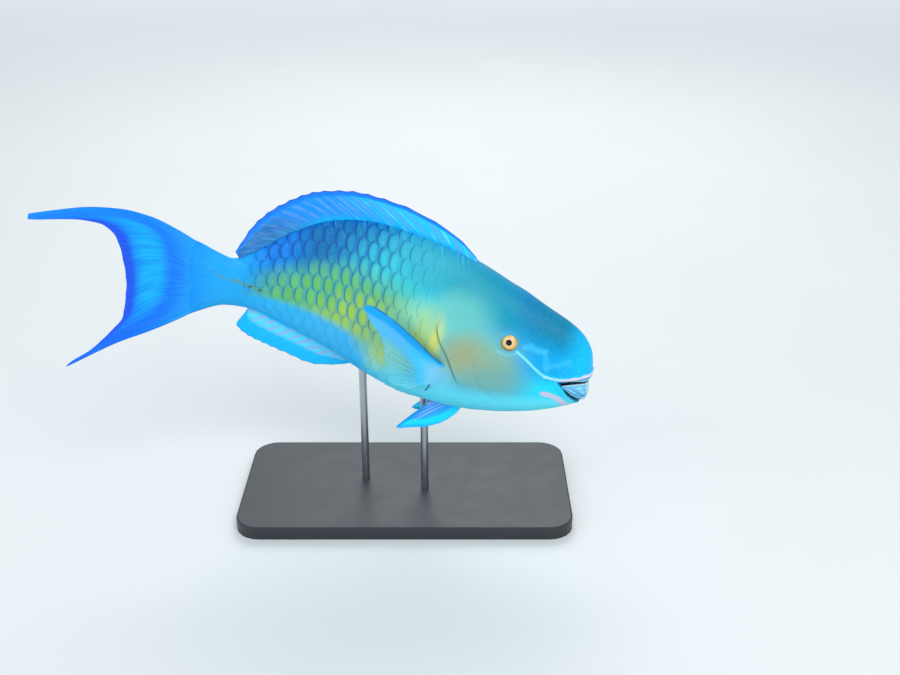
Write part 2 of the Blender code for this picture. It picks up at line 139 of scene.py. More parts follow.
BACK = ((0, -0.008), (0.003, 0.004), (0.008, 0.012), (0.014, 0.018), (0.024, 0.024), (0.049, 0.034),
        (0.077, 0.046), (0.117, 0.060), (0.160, 0.068), (0.205, 0.072), (0.240, 0.067),
        (0.277, 0.050), (0.301, 0.034), (0.322, 0.0240), (0.336, 0.0300), (TRUNK_END, 0.0390),
        (TAIL_END, 0.0440))
BELLY = ((0, -0.031), (0.003, -0.040), (0.008, -0.045), (0.016, -0.050), (0.045, -0.063),
         (0.080, -0.073), (0.121, -0.0795), (0.155, -0.079), (0.194, -0.070), (0.228, -0.056),
         (0.270, -0.038), (0.306, -0.024), (0.328, -0.0213), (TRUNK_END, -0.0275), (TAIL_END, -0.0318))
HALF_WIDTH = ((0, 0.0085), (0.004, 0.0120), (0.012, 0.0155), (0.030, 0.0205), (0.060, 0.0260),
              (0.100, 0.0310), (0.150, 0.0330), (0.200, 0.0300), (0.250, 0.0205), (0.300, 0.0115),
              (0.330, 0.0085), (TRUNK_END, 0.0045), (0.360, 0.0024), (TAIL_END, 0.0009))
WIDEST_LEVEL = 0.55
BACK_ROUNDNESS, BELLY_ROUNDNESS = 2.0, 2.3
back, belly, half_width = smooth_curve(BACK), smooth_curve(BELLY), smooth_curve(HALF_WIDTH)


def widest_level(along):
    """The height at which the body is widest."""
    return belly(along) + WIDEST_LEVEL * (back(along) - belly(along))


def height_share(along, up):
    """0 at the widest level of the body, 1 at the back and about -1 at the belly."""
    return (up - widest_level(along)) / (back(along) - widest_level(along))


def ring(along, angle):
    """Side and height of the body's surface at an angle, 0 on the left flank, a quarter on the back."""
    level = widest_level(along)
    over = np.sin(angle) > 0
    power = 2 / np.where(over, BACK_ROUNDNESS, BELLY_ROUNDNESS)
    side = half_width(along) * np.sign(np.cos(angle)) * np.abs(np.cos(angle)) ** power
    height = np.where(over, back(along) - level, level - belly(along))
    return side, level + height * np.sign(np.sin(angle)) * np.abs(np.sin(angle)) ** power


def flank(along, up):
    """The body's half width at a height."""
    level = widest_level(along)
    over = up > level
    share = np.where(over, (up - level) / (back(along) - level), (level - up) / (level - belly(along)))
    power = np.where(over, BACK_ROUNDNESS, BELLY_ROUNDNESS)
    return half_width(along) * (1 - np.clip(share, 0, 1) ** power) ** (1 / power)


print("greatest depth", round(float(np.max(back(SPINE_STEPS) - belly(SPINE_STEPS))), 3))

# %% [markdown]
# ## Lines of the face
# Lips, gape, gill cover and eye are given once, as short lines on the straight body seen from the
# side. The skin is pushed in and out along them, and the paint later follows the very same lines, so
# shape and colour can't drift apart.

# %% Where the face's features run
EYE_ALONG, EYE_UP = 0.0685, 0.0045
EYE_BALL, EYE_SHOWING = 0.0095, 0.0065
UPPER_LIP = ((-0.004, -0.0128), (0.003, -0.0143), (0.009, -0.0170), (0.014, -0.0186), (0.022, -0.0200),
             (0.030, -0.0196), (0.035, -0.0188))
FACE_LINE = ((0.0345, -0.0190), (0.0385, -0.0172), (0.0445, -0.0128), (0.0530, -0.0062),
             (0.0610, -0.0012))
GAPE_TOP = ((-0.010, -0.0150), (0.0030, -0.0165), (0.0110, -0.0190), (0.0180, -0.0208),
            (0.0242, -0.0222))
GAPE_BOTTOM = ((-0.010, -0.0425), (0.0045, -0.0425), (0.0098, -0.0385), (0.0142, -0.0345),
               (0.0188, -0.0282), (0.0242, -0.0222))
LOWER_LIP = ((-0.004, -0.0440), (0.0050, -0.0437), (0.0108, -0.0402), (0.0156, -0.0357),
             (0.0205, -0.0290), (0.0250, -0.0235))
CHEEK_FOLD = ((0.098, 0.022), (0.1005, 0.004), (0.098, -0.020), (0.088, -0.043), (0.072, -0.055))
SHOULDER = ((0.119, -0.033), (0.131, -0.051))
NOSTRILS = ((0.0535, 0.0170), (0.0500, 0.0158))
GILL_EDGE_LINE = ((-0.066, 0.092), (-0.055, 0.1005), (-0.038, 0.1085), (-0.024, 0.1152),
                  (-0.0157, 0.1198), (-0.0086, 0.1250), (0.004, 0.1290), (0.016, 0.1270),
                  (0.028, 0.1200), (0.038, 0.1120))
gill_edge = smooth_curve(GILL_EDGE_LINE)


def line_distance(points, along, up):
    """Distance of each place from a line drawn on the side of the fish."""
    nearest = np.full(np.shape(along), 1.0)
    for (a0, u0), (a1, u1) in zip(points, points[1:]):
        length = (a1 - a0) ** 2 + (u1 - u0) ** 2
        t = np.clip(((along - a0) * (a1 - a0) + (up - u0) * (u1 - u0)) / length, 0, 1)
        nearest = np.minimum(nearest, np.hypot(along - a0 - t * (a1 - a0), up - u0 - t * (u1 - u0)))
    return nearest


def shifted(line, along, up):
    """The same line a little further back and up."""
    return [(a + along, u + up) for a, u in line]


def ridge(distance, width):
    """A soft ridge, 1 on its line and next to nothing two widths away."""
    return np.exp(-(distance / width) ** 2)


print("level with the eye the gill cover ends at", round(float(gill_edge(EYE_UP)), 3))


# %% [markdown]
# ## The skin
# On the real fish one skin covers head, trunk and tail. It is made as a fine grid of rings round the
# straight body, closer together on the head, where the detail is. Each point then moves a little in
# or out for lips, eye sockets, gill covers and fin bases, and only at the end is the grid bent into
# the swimming pose. A grid is better here than a sculpted ball: every later step can ask any of its
# points where on the fish it is.

# %% The skin's grid
SCALE_COAT = 0.0011
HEAD_RINGS, CHEEK_RINGS, BODY_RINGS, ROUND_POINTS = 96, 130, 150, 216
FACE_END, CHEEK_END = 0.042, 0.132

ring_places = np.concatenate([
    FACE_END * np.linspace(0, 1, HEAD_RINGS, endpoint=False) ** 1.25,
    np.linspace(FACE_END, CHEEK_END, CHEEK_RINGS, endpoint=False),
    np.linspace(CHEEK_END, TAIL_END, BODY_RINGS)])
CAP_SIZES = np.sin(np.linspace(0, pi / 2, 14, endpoint=False))[1:]
SNOUT_DOME, SNOUT_UP = 0.0016, -0.021
GILL_RING, GILL_GRID_START, GILL_GRID_END = 0.1180, 0.055, 0.170
BEFORE_GILL_EDGE = 0.00003


def along_gill(along, angle):
    """Shifts the rings near the gill cover so that one of them follows its free edge exactly."""
    edge = np.full_like(angle, GILL_RING)
    for _ in range(12):
        edge = 0.5 * edge + 0.5 * gill_edge(ring(edge, angle)[1])
    nearest = ring_places[np.argmin(np.abs(ring_places - GILL_RING))]
    old = (0, GILL_GRID_START, nearest, GILL_GRID_END, 1)
    return np.array([np.interp(along, old, (0, GILL_GRID_START, spot - BEFORE_GILL_EDGE, GILL_GRID_END, 1))
                     for spot in edge])


def straight_grid():
    """Along, side and up of every grid point, the front cap's rings first."""
    angle = np.arange(ROUND_POINTS) * 2 * pi / ROUND_POINTS
    side, up = ring(np.zeros_like(angle), angle)
    rows = [(-SNOUT_DOME * (1 - size ** 2) + 0 * angle, side * size, SNOUT_UP + (up - SNOUT_UP) * size)
            for size in CAP_SIZES]
    rows += [(along, *ring(along, angle)) for along in along_gill(ring_places, angle).T]
    return np.stack([np.stack(row, -1) for row in rows])


print("skin grid:", len(CAP_SIZES) + len(ring_places), "rings of", ROUND_POINTS, "points")


# %% Push and pull of the skin
SKIN_RIDGES = (                     # a line, how far the skin stands out along it, and its width
    (UPPER_LIP, 0.0010, 0.0017), (shifted(UPPER_LIP, 0, 0.0035), -0.0005, 0.0012),
    (LOWER_LIP, 0.0005, 0.0017), (shifted(LOWER_LIP, 0.0030, -0.0030), -0.0003, 0.0013),
    (CHEEK_FOLD, -0.00035, 0.0022), (SHOULDER, 0.0016, 0.0050))
EYELID, EYE_FOLD = (0.0011, 0.0076, 0.0012), (-0.0006, 0.0108, 0.0016)
SOCKET_DEPTH, SOCKET_SIZE = 0.0058, (0.0052, 0.0065)
NOSTRIL_DEPTH, NOSTRIL_SIZE = 0.0011, 0.0009
FLAP_HEIGHT, FLAP_LENGTH = 0.0011, 0.011
FLAP_STEP, STEP_RUN = 0.0012, 0.0032
TAIL_SQUEEZE, SQUEEZED = (0.356, 0.3645), 0.85
THROAT_ALONG, THROAT_UP, THROAT_SHARE = 0.020, -0.030, 0.93
THROAT_WIDTH, THROAT_HEIGHT = 0.45, 0.25
COAT_START, NAPE_FORWARD, COAT_DEEPENS = 0.112, 0.028, 0.020
SKIN_INSET = 0.0001


def gape_share(along, up, lip=(0.0, 0.0013)):
    """1 inside the open mouth, 0 outside it, with a soft lip between."""
    inside = np.minimum(smooth_curve(GAPE_TOP)(along) - up, up - smooth_curve(GAPE_BOTTOM)(along))
    return soft_step(np.where(along > GAPE_TOP[-1][0], -1, inside), *lip)


def gill_share(up):
    """The free edge of the gill cover lies close to the body and only stands off behind the cheek."""
    return soft_step(up, -0.049, -0.035) * soft_step(-up, -0.014, 0.004)


def swelling(along, up, behind_gill=False):
    """How far the skin stands out or in, in metres. Behind the gill it can leave out the cover's flap."""
    eye = np.hypot(along - EYE_ALONG, up - EYE_UP)
    out = sum(height * ridge(eye - far, width) for height, far, width in (EYELID, EYE_FOLD))
    out -= SOCKET_DEPTH * (1 - soft_step(eye, *SOCKET_SIZE))
    for line, height, width in SKIN_RIDGES:
        out += height * ridge(line_distance(line, along, up), width)
    for pit_along, pit_up in NOSTRILS:
        out -= NOSTRIL_DEPTH * ridge(np.hypot(along - pit_along, up - pit_up), NOSTRIL_SIZE)
    past_gill = np.maximum(along - gill_edge(up), 0.00001 if behind_gill else -1)
    flap = np.where(past_gill < 0, FLAP_HEIGHT * np.exp(past_gill / FLAP_LENGTH),
                    -FLAP_STEP * np.exp(-past_gill / STEP_RUN))
    return out + gill_share(up) * flap


def skin_depth(along, up):
    """The skin lies under the scales by their depth, and at the surface where the face is bare."""
    height = (up - belly(along)) / (back(along) - belly(along))
    start = COAT_START - NAPE_FORWARD * soft_step(height, 0.55, 0.95)
    return SKIN_INSET + SCALE_COAT * soft_step(along, start - COAT_DEEPENS, start)


def skin_points():
    """The straight grid's points, and the same points pushed in and out."""
    points = straight_grid()
    along, side, up = np.moveaxis(points, -1, 0)
    round_way = np.roll(points, -1, 1) - np.roll(points, 1, 1)
    normal = unit(np.cross(round_way, np.gradient(points, axis=0)))
    lift = swelling(along, up) - skin_depth(along, up)
    lift[:len(CAP_SIZES)] *= CAP_SIZES[:, None]
    moved = points + normal * lift[..., None]
    moved[..., 1] *= 1 - SQUEEZED * soft_step(along, *TAIL_SQUEEZE)
    throat = np.stack([THROAT_ALONG + 0 * along, side * THROAT_WIDTH,
                       THROAT_UP + (up - THROAT_UP) * THROAT_HEIGHT], -1)
    return points, moved + gape_share(along, up)[..., None] * THROAT_SHARE * (throat - moved)


def add_vector(mesh, name, values):
    """Keeps three numbers on each point of a mesh."""
    layer = mesh.attributes.new(name, "FLOAT_VECTOR", "POINT")
    layer.data.foreach_set("vector", np.asarray(values, np.float32).ravel())


def new_mesh(name, points, faces=(), edges=(), **vectors):
    """A mesh that keeps vectors on its points, such as the place on the straight body."""
    mesh = bpy.data.meshes.new(name)
    mesh.from_pydata(np.reshape(points, (-1, 3)).tolist(), list(edges), np.asarray(faces, int).tolist())
    for key, values in vectors.items():
        add_vector(mesh, key, values)
    return mesh


def grid_faces(rows, columns, close_round=True):
    """Faces between rows of points; the rows can be closed rings."""
    index = np.arange(rows * columns).reshape(rows, columns)
    after = np.roll(index, -1, 1) if close_round else index[:, 1:]
    here = index if close_round else index[:, :-1]
    return np.stack([here[:-1], after[:-1], after[1:], here[1:]], -1).reshape(-1, 4)


def close_shell(mesh, end_ring=0, cut_ends=True):
    """Closes the first and last ring of a mesh, if it has any, and turns every face outwards."""
    work = bmesh.new()
    work.from_mesh(mesh)
    work.verts.ensure_lookup_table()
    for first in (0, len(work.verts) - end_ring) if end_ring else ():
        work.faces.new([work.verts[first + k] for k in range(end_ring)])
    if end_ring and cut_ends:
        bmesh.ops.triangulate(work, faces=[f for f in work.faces if len(f.verts) > 4])
    bmesh.ops.recalc_face_normals(work, faces=work.faces)
    work.to_mesh(mesh)
    work.free()


def show(name, mesh):
    """Puts a mesh, light or camera in the scene."""
    piece = bpy.data.objects.new(name, mesh)
    bpy.context.scene.collection.objects.link(piece)
    return piece


skin_straight, skin_moved = skin_points()
skin_mesh = new_mesh("fish_skin", place_all(skin_moved), grid_faces(*skin_moved.shape[:2]),
                     straight=skin_straight)
close_shell(skin_mesh, ROUND_POINTS)
skin_mesh.shade_smooth()
skin = show("fish_skin", skin_mesh)
print("skin faces:", len(skin.data.polygons))

# %% [markdown]
# ## Paint tools
# All colour comes from shader nodes that read "straight", the place on the straight body, so a patch
# of colour is a soft ellipse or a soft line given in real sizes. A few short helpers keep the node
# trees readable: a node's output can be added and multiplied like a number, and each such sum adds
# the node that works it out.

# %% Helpers for nodes
def colour(code):
    """A linear colour from a hex code."""
    parts = [int(code[k:k + 2], 16) / 255 for k in (1, 3, 5)]
    return (*[p / 12.92 if p <= 0.04045 else ((p + 0.055) / 1.055) ** 2.4 for p in parts], 1)


class Value:
    """A node's output that can be used like a number."""

    def __init__(self, nodes, socket):
        self.nodes, self.socket = nodes, socket

    def __add__(self, other):
        return self.nodes.math("ADD", self, other)

    def __sub__(self, other):
        return self.nodes.math("SUBTRACT", self, other)

    def __rsub__(self, other):
        return self.nodes.math("SUBTRACT", other, self)

    def __mul__(self, other):
        return self.nodes.math("MULTIPLY", self, other)

    def __truediv__(self, other):
        return self.nodes.math("DIVIDE", self, other)


class Nodes:
    """Short calls that add nodes to one tree and link them."""

    family = "ShaderNode"

    def __init__(self, tree):
        self.tree = tree

    def feed(self, socket, value):
        """Links a node's output to a socket, or sets the socket to a plain value."""
        value = value.socket if isinstance(value, Value) else value
        if isinstance(value, bpy.types.NodeSocket):
            self.tree.links.new(value, socket)
        elif value is not None:
            socket.default_value = value

    def add(self, kind, settings=(), **inputs):
        """A new node. Its inputs go by name, with _ for a blank, or by number as i0, i1 and so on."""
        made = self.tree.nodes.new(kind if "Node" in kind else self.family + kind)
        for key, value in dict(settings).items():
            setattr(made, key, value)
        for key, value in inputs.items():
            self.feed(made.inputs[int(key[1:]) if key[1:].isdigit() else key.replace("_", " ")], value)
        return made

    def node(self, kind, settings=(), output=0, **inputs):
        """A new node's output, its first one unless told otherwise."""
        return Value(self, self.add(kind, settings, **inputs).outputs[output])

    def math(self, operation, a, b=None, clamp=False):
        return self.node("ShaderNodeMath", {"operation": operation, "use_clamp": clamp}, i0=a, i1=b)

    def parts(self, vector):
        return [Value(self, part) for part in self.add("ShaderNodeSeparateXYZ", Vector=vector).outputs]

    def join(self, x, y, z=0.0):
        return self.node("ShaderNodeCombineXYZ", X=x, Y=y, Z=z)


class Paint(Nodes):
    """The same for colours on the fish."""

    def place(self, name="straight"):
        """Three numbers of a point attribute."""
        return self.parts(self.node("Attribute", {"attribute_name": name}, "Vector"))

    def mask(self, value, low, high):
        """0 to 1 as the value goes from low to high; low may be the larger one."""
        return self.node("MapRange", {"interpolation_type": "SMOOTHSTEP"}, Value=value,
                         From_Min=low, From_Max=high, To_Min=0.0, To_Max=1.0)

    def mix(self, share, a, b, way="MIX"):
        a, b = (colour(tone) if isinstance(tone, str) else tone for tone in (a, b))
        return self.node("Mix", {"data_type": "RGBA", "blend_type": way}, 2, i0=share, i6=a, i7=b)

    def cover(self, tone, *layers):
        """The tone with layers over it, each as strong as its share."""
        for share, code in layers:
            tone = self.mix(share, tone, code)
        return tone

    def patch(self, along, up, centre, size, tilt=0.0, soft=0.5):
        """A soft-edged ellipse on the side of the fish; its tilt, in degrees, turns it nose-down."""
        a, u, turn = along - centre[0], up - centre[1], radians(tilt)
        x = (a * cos(turn) + u * sin(turn)) / size[0]
        y = (u * cos(turn) - a * sin(turn)) / size[1]
        return self.mask(self.math("SQRT", x * x + y * y), 1 + soft, 1 - soft)

    def line(self, along, up, points, width, soft):
        """A soft line through a few points on the side of the fish."""
        nearest = None
        for (a0, u0), (a1, u1) in zip(points, points[1:]):
            da, du = a1 - a0, u1 - u0
            a, u = along - a0, up - u0
            t = self.math("DIVIDE", a * da + u * du, da * da + du * du, clamp=True)
            off_a, off_u = a - t * da, u - t * du
            far = self.math("SQRT", off_a * off_a + off_u * off_u)
            nearest = self.math("MINIMUM", nearest, far) if nearest else far
        return self.mask(nearest, width + soft, width)

    def object_place(self):
        return self.node("TexCoord", output="Object")

    def noise(self, scale, detail=2.0, vector=None):
        return self.node("TexNoise", Vector=vector or self.object_place(), Scale=scale, Detail=detail)

    def shake(self, scale, detail, reach):
        """Noise that goes as far below nothing as above it."""
        return (self.noise(scale, detail) - 0.5) * reach

    def streaks(self, x, fine_x, y, fine_y, detail=3.0):
        """Noise drawn out into streaks."""
        return self.noise(1.0, detail, self.join(x * fine_x, y * fine_y))

    def bump(self, height, strength, distance):
        return self.node("Bump", output="Normal", Strength=strength, Distance=distance, Height=height)


def node_group(name, **outputs):
    """An empty shader group with named outputs: the tree, its paint helper and the outputs' sockets."""
    tree = bpy.data.node_groups.new(name, "ShaderNodeTree")
    for socket, kind in outputs.items():
        tree.interface.new_socket(socket.replace("_", " "), in_out="OUTPUT", socket_type="NodeSocket" + kind)
    return tree, Paint(tree), tree.nodes.new("NodeGroupOutput").inputs


def use_group(paint, tree):
    """Adds a group to a material and gives its outputs by name."""
    made = paint.tree.nodes.new("ShaderNodeGroup")
    made.node_tree = tree
    return {socket.name: Value(paint, socket) for socket in made.outputs}


def finish_material(name, **constants):
    """A material with one Principled shader; constants are set on its own sockets."""
    made = bpy.data.materials.new(name)
    made.use_nodes = True
    shader = made.node_tree.nodes["Principled BSDF"].inputs
    for socket, value in constants.items():
        shader[socket.replace("_", " ")].default_value = value
    return made, Paint(made.node_tree), shader


def group_material(name, tree, bump=(), **constants):
    """A material that takes its looks from a shader group; a height in it becomes a bump, given how
    strong and how high it is."""
    made, paint, shader = finish_material(name, **constants)
    for socket, value in use_group(paint, tree).items():
        if socket == "Height":
            socket, value = "Normal", paint.bump(value, *bump)
        paint.feed(shader[socket], value)
    return made


print("paint helpers ready")

# %% [markdown]
# ## The colours of the fish
# A grown male is blue-green all over, with a turquoise shoulder, yellow-green flank scales, a brownish
# olive cheek and pale lines that run from the lips to the eye. We lay a base of blue and put each of
# these on top as a soft patch, from the largest to the smallest, as a painter of models would. All of
# it lives in one node group, so that the scales carry the same markings as the skin beneath them.

# %% One group of colours for skin and scales
BODY_PATCHES = (        # middle, half sizes, tilt in degrees, softness, colour and strength
    ((0.255, 0.030), (0.075, 0.034), -14, 0.45, "#0F80A6", 0.85),
    ((0.238, 0.052), (0.055, 0.018), -16, 0.45, "#0868A4", 0.80),
    ((0.292, 0.036), (0.030, 0.020), -30, 0.6, "#0880F0", 0.75),
    ((0.165, 0.028), (0.052, 0.040), 6, 0.55, "#3ACAD4", 0.95),
    ((0.135, 0.048), (0.040, 0.018), 20, 0.5, "#34AEC4", 0.8),
    ((0.240, 0.004), (0.070, 0.026), -14, 0.45, "#6CC058", 0.92),
    ((0.207, -0.012), (0.054, 0.024), -20, 0.5, "#A4CC30", 0.88),
    ((0.152, -0.004), (0.034, 0.024), -20, 0.6, "#9CE4B4", 0.85),
    ((0.163, -0.032), (0.034, 0.018), -28, 0.5, "#BCDC64", 0.85),
    ((0.1370, -0.006), (0.0120, 0.022), 8, 0.6, "#C8DC70", 0.60),
    ((0.1288, -0.005), (0.0048, 0.019), 8, 0.5, "#F4EA3C", 0.90),
    ((0.094, 0.036), (0.036, 0.018), 24, 0.55, "#149CAC", 0.8),
    ((0.110, 0.014), (0.024, 0.022), 10, 0.6, "#74CCC0", 0.8),
    ((0.094, -0.018), (0.040, 0.024), -22, 0.6, "#84C4AC", 0.88),
    ((0.104, -0.016), (0.018, 0.016), -30, 0.8, "#B0A468", 0.70),
    ((0.084, -0.024), (0.022, 0.013), -20, 0.8, "#9CB08C", 0.60),
    ((0.1240, -0.044), (0.013, 0.013), -40, 0.6, "#84D4F8", 0.80))
CHEEK_PATCH = ((0.089, -0.022), (0.038, 0.029), -18, 0.55)
BELOW_CHEEK = ((0.080, -0.042), (0.036, 0.014), -12, 0.9)
LOW_CHEEK = ((0.080, -0.034), (0.026, 0.014), -18, 0.8)
SIDE_LINE = ((0.346, 0.0150), (0.335, 0.0100), (0.317, 0.0048), (0.297, -0.0025))
DARK_SPOTS = ((0.3085, 0.0012), (0.2995, -0.0012))
# The crease under the breast fin's root, where a thin line of painted shadow goes.
AXIL_SHADE_LINE = ((0.1345, -0.0615), (0.1322, -0.0572), (0.1305, -0.0525))
STRIPES = (             # line, half width, softness, colour and strength
    (FACE_LINE, 0.0005, 0.0013, "#8CECFF", 0.90),
    (UPPER_LIP[:5], 0.0007, 0.0011, "#E8D8E8", 0.95),
    (UPPER_LIP[4:], 0.0006, 0.0012, "#B4ECFA", 0.90),
    (((0.076, -0.0040), (0.0690, -0.0058), (0.0610, -0.0030)), 0.0004, 0.0018, "#80DCF0", 0.6),
    (((0.0555, 0.0040), (0.0505, 0.0048), (0.0445, 0.0036), (0.0375, 0.0028)),
     0.0010, 0.0024, "#50D0FC", 0.45),
    (((0.0385, 0.0025), (0.0352, -0.0060), (0.0345, -0.0118)), 0.0007, 0.0030, "#48CCF8", 0.40),
    (((0.0345, -0.0120), (0.0282, -0.0080), (0.0231, -0.0045), (0.0180, -0.0030)),
     0.0006, 0.0032, "#48CCF8", 0.42),
    (((0.0340, -0.0360), (0.0295, -0.0366), (0.0238, -0.0378), (0.0175, -0.0432), (0.0130, -0.0480)),
     0.0018, 0.0013, "#D8C8E6", 0.95),
    (LOWER_LIP, 0.0009, 0.0014, "#28D4FC", 0.6))
SHARP_STRIPE = 0.0020
TAIL_ROOT_TOP = 0.0393


def fish_colours():
    """The whole fish from large to small: body, face, cheek, tail stem, stripes, ticks and mouth. The mouth,
    the groove behind the gill cover and the crease under the breast fin get painted shade, and two outputs
    tell the scales where to lay their edge tint and painted rim shade.
    """
    tree, paint, out = node_group("fish_colours", Color="Color", Edge="Float", Line="Float", Speckle="Float")
    along, _, up = paint.place()
    height = paint.place("height")[0]
    wander = paint.shake(22.0, 3.0, 0.016)
    a, u = along + wander, up + wander

    body = paint.mix(paint.mask(height, 0.15, 0.95), "#10A8E0", "#087CC0")
    body = paint.mix(paint.mask(height, -0.25, -0.85), body, "#2CC4FC")
    for *patch, code, strength in BODY_PATCHES:
        body = paint.mix(paint.patch(a, u, *patch) * strength, body, code)

    face = paint.cover(
        paint.mix(paint.mask(height, 0.1, 0.8), "#00ACEC", "#0080A6"),
        (paint.mask(height, -0.05, -0.55), "#0CE4FF"),
        (paint.mask(along, 0.030, 0.004), "#08C4FF"))
    threads = paint.mask(paint.streaks(TAIL_ROOT_TOP - up, 1930.0, along, 28.0), 0.40, 0.66) * 0.42
    side_mark = paint.line(a, u, SIDE_LINE, 0.0003, 0.0024) * paint.mask(a, 0.352, 0.326)
    body = paint.cover(
        body,
        (paint.mask(along, 0.086, 0.040) * (1.0 - paint.patch(a, u, *CHEEK_PATCH)), face),
        (paint.patch(a, u, *BELOW_CHEEK) * 0.6, "#4CC8D8"),
        (paint.patch(a, u, *LOW_CHEEK) * 0.65, "#80AC9C"),
        (paint.mask(height, -0.62, -0.92) * paint.mask(along, 0.21, 0.16) * 0.8, "#70EEFF"),
        (paint.mask(height, -0.44, -0.68) * paint.mask(along, 0.185, 0.215) * 0.90, "#20B8FF"),
        (paint.mask(a, 0.285, 0.325), "#1CACF4"),
        (paint.mask(a, 0.335, 0.362), "#0C9CF8"),
        (threads * paint.mask(a, 0.325, 0.358) * 0.6, "#0058E0"),
        (side_mark * paint.mask(paint.noise(95.0), 0.35, 0.60) * 0.75, "#6C9440"))
    for spot in DARK_SPOTS:
        body = paint.mix(paint.patch(along, up, spot, (0.0022, 0.0008), -14, 0.6) * 0.75, body, "#1C3C40")

    shake, blot = paint.shake(160.0, 2.0, 0.0022), paint.shake(75.0, 2.0, 0.0085)
    for points, width, soft, code, strength in STRIPES:
        moved = blot if soft > SHARP_STRIPE else shake
        body = paint.mix(paint.line(along + moved, up + moved, points, width, soft) * strength, body, code)

    ticks = paint.streaks(along * 520.0 - up * 400.0, 1.0, up, 60.0, 2.0)
    by_fin = paint.mask(along, 0.270, 0.230) * paint.mask(along, 0.110, 0.125)
    by_fin *= paint.mask(height, 0.86, 0.96)
    mouth, slit_shade, _ = paint.place("mouth")
    speckle = paint.noise(420.0, 3.0)
    body = paint.cover(
        body,
        (paint.mask(ticks, 0.56, 0.64) * by_fin * 0.34, "#58D8F8"),
        # Painted shadow in the crease under the breast fin's root.
        (paint.line(along, up, AXIL_SHADE_LINE, 0.0002, 0.0011) * 0.80, "#0A3C70"),
        # Painted shade inside the open mouth, and in the groove under the gill cover's free edge.
        (mouth, "#07224A"), (slit_shade, "#3A6A6C"),
        (paint.mask(speckle, 0.40, 0.75) * 0.05, "#90F0FF"))
    above_belly = 1.0 - paint.mask(height, -0.26, -0.58) * 0.80
    # Where the scales get their bluer edge: partly their own edge colour, partly painted shadow behind the
    # rim that lies over them.
    rim_tint_and_shadow = paint.mask(along, 0.150, 0.205) * paint.mask(along, 0.318, 0.285) * above_belly
    # Where the scales get a painted shade line along their hind rims, from the shoulder to the tail stem and
    # less of it towards the belly.
    lines = paint.mask(along, 0.116, 0.190) * paint.mask(along, 0.330, 0.290) * above_belly
    for socket, value in (("Color", body), ("Edge", rim_tint_and_shadow), ("Line", lines), ("Speckle", speckle)):
        paint.feed(out[socket], value)
    return tree


FISH_COLOURS = fish_colours()
# Width and strength of the painted shade behind the gill cover's edge, and the soft edge of the painted shade
# inside the mouth.
SLIT_WIDTH, SLIT_SHADE_STRENGTH = 0.0022, 0.8
GAPE_SHADE = (-0.0010, 0.0009)


def skin_material():
    """The colours on a skin with a dull gloss and a very fine grain."""
    made, paint, shader = finish_material("blue_fish_skin", Coat_Weight=0.03, Coat_Roughness=0.30,
                                          Specular_IOR_Level=0.15)
    colours = use_group(paint, FISH_COLOURS)
    paint.feed(shader["Base Color"], colours["Color"])
    roughness = paint.node("MapRange", Value=colours["Speckle"], From_Min=0.3, From_Max=0.7,
                           To_Min=0.44, To_Max=0.56)
    paint.feed(shader["Roughness"], roughness)
    paint.feed(shader["Normal"], paint.bump(colours["Speckle"], 0.25, 0.0004))
    return made


def paint_marks(mesh, along, up):
    """Keeps the height share on each point, and where the paint lays painted shade: inside the mouth and in
    the groove behind the gill cover's edge.
    """
    share = height_share(along, up)
    add_vector(mesh, "height", np.stack([share, 0 * share, 0 * share], -1))
    past = along - gill_edge(up)
    slit_shade = gill_share(up) * np.where(past < 0, 0, ridge(past, SLIT_WIDTH)) * SLIT_SHADE_STRENGTH
    add_vector(mesh, "mouth", np.stack([gape_share(along, up, GAPE_SHADE), slit_shade, slit_shade * 0], -1))


paint_marks(skin.data, skin_straight[..., 0], skin_straight[..., 2])
skin.data.materials.append(skin_material())
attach(skin, "root")
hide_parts("head", "lower_jaw", "gill_cover_right", "gill_cover_left", "trunk", "tail_stem")
print("colour layers painted")

# %% [markdown]
# ## The coat of scales
# Parrotfish scales are very large: a dozen rows cover the deepest part of a flank. Each grows from a
# pocket at its front end and lies over the one behind, like roof tiles, so what shows of it is a tall
# oval, taller than it is long. The rows are staggered and shrink towards the tail. We lay the roots
# out on a flat, unrolled plan of each flank, let Geometry Nodes put one thin plate on every root, and
# then wrap the plan onto the skin. Working on a flat plan keeps the overlaps even, and wrapping makes
# each plate follow the body's curve.

# %% The unrolled plan of one flank
PLAN_START, PLAN_END = 0.070, 0.366
PLAN_ROWS, PLAN_COLUMNS = 230, 120
PAST_RIDGE = radians(7)
UNWRAP_LENGTH = 0.36
BACK_MARGIN, BELLY_MARGIN = 0.0006, 0.0012
NAPE_UP = 0.030
NAPE_FRONT = smooth_curve(((NAPE_UP, 0.1205), (0.042, 0.104), (0.052, 0.092), (0.062, 0.090)))
GILL_GAP = 0.0012
FIN_PAD, PAD_RADII = (0.1240, -0.0460), (0.013, 0.022)
LEAST_LIFT, FULL_LIFT = 0.00004, 0.00090
LIFT_GROWS, LIFT_SINKS, SUNK_SHARE = (0.006, 0.075), (0.290, 0.345), 0.88


def side_angles(side_sign):
    """Angles from just past the belly's midline, over the flank, to just past the back's ridge."""
    up = np.linspace(-pi / 2 - PAST_RIDGE, pi / 2 + PAST_RIDGE, PLAN_COLUMNS)
    return up if side_sign > 0 else pi - up


def scale_front(up):
    """Where the scales begin: behind the gill cover, further forward on the nape."""
    return np.where(up > NAPE_UP, NAPE_FRONT(up), gill_edge(up) + GILL_GAP)


def scale_lift(along, up):
    """Height of a scale's hind rim: nothing behind the head and at the fin's pad, full on the flank."""
    behind_head = soft_step(along - scale_front(up), *LIFT_GROWS)
    off_pad = soft_step(np.hypot(along - FIN_PAD[0], up - FIN_PAD[1]), *PAD_RADII)
    at_tail = 1 - SUNK_SHARE * soft_step(along, *LIFT_SINKS)
    return (LEAST_LIFT + FULL_LIFT * behind_head * off_pad) * at_tail


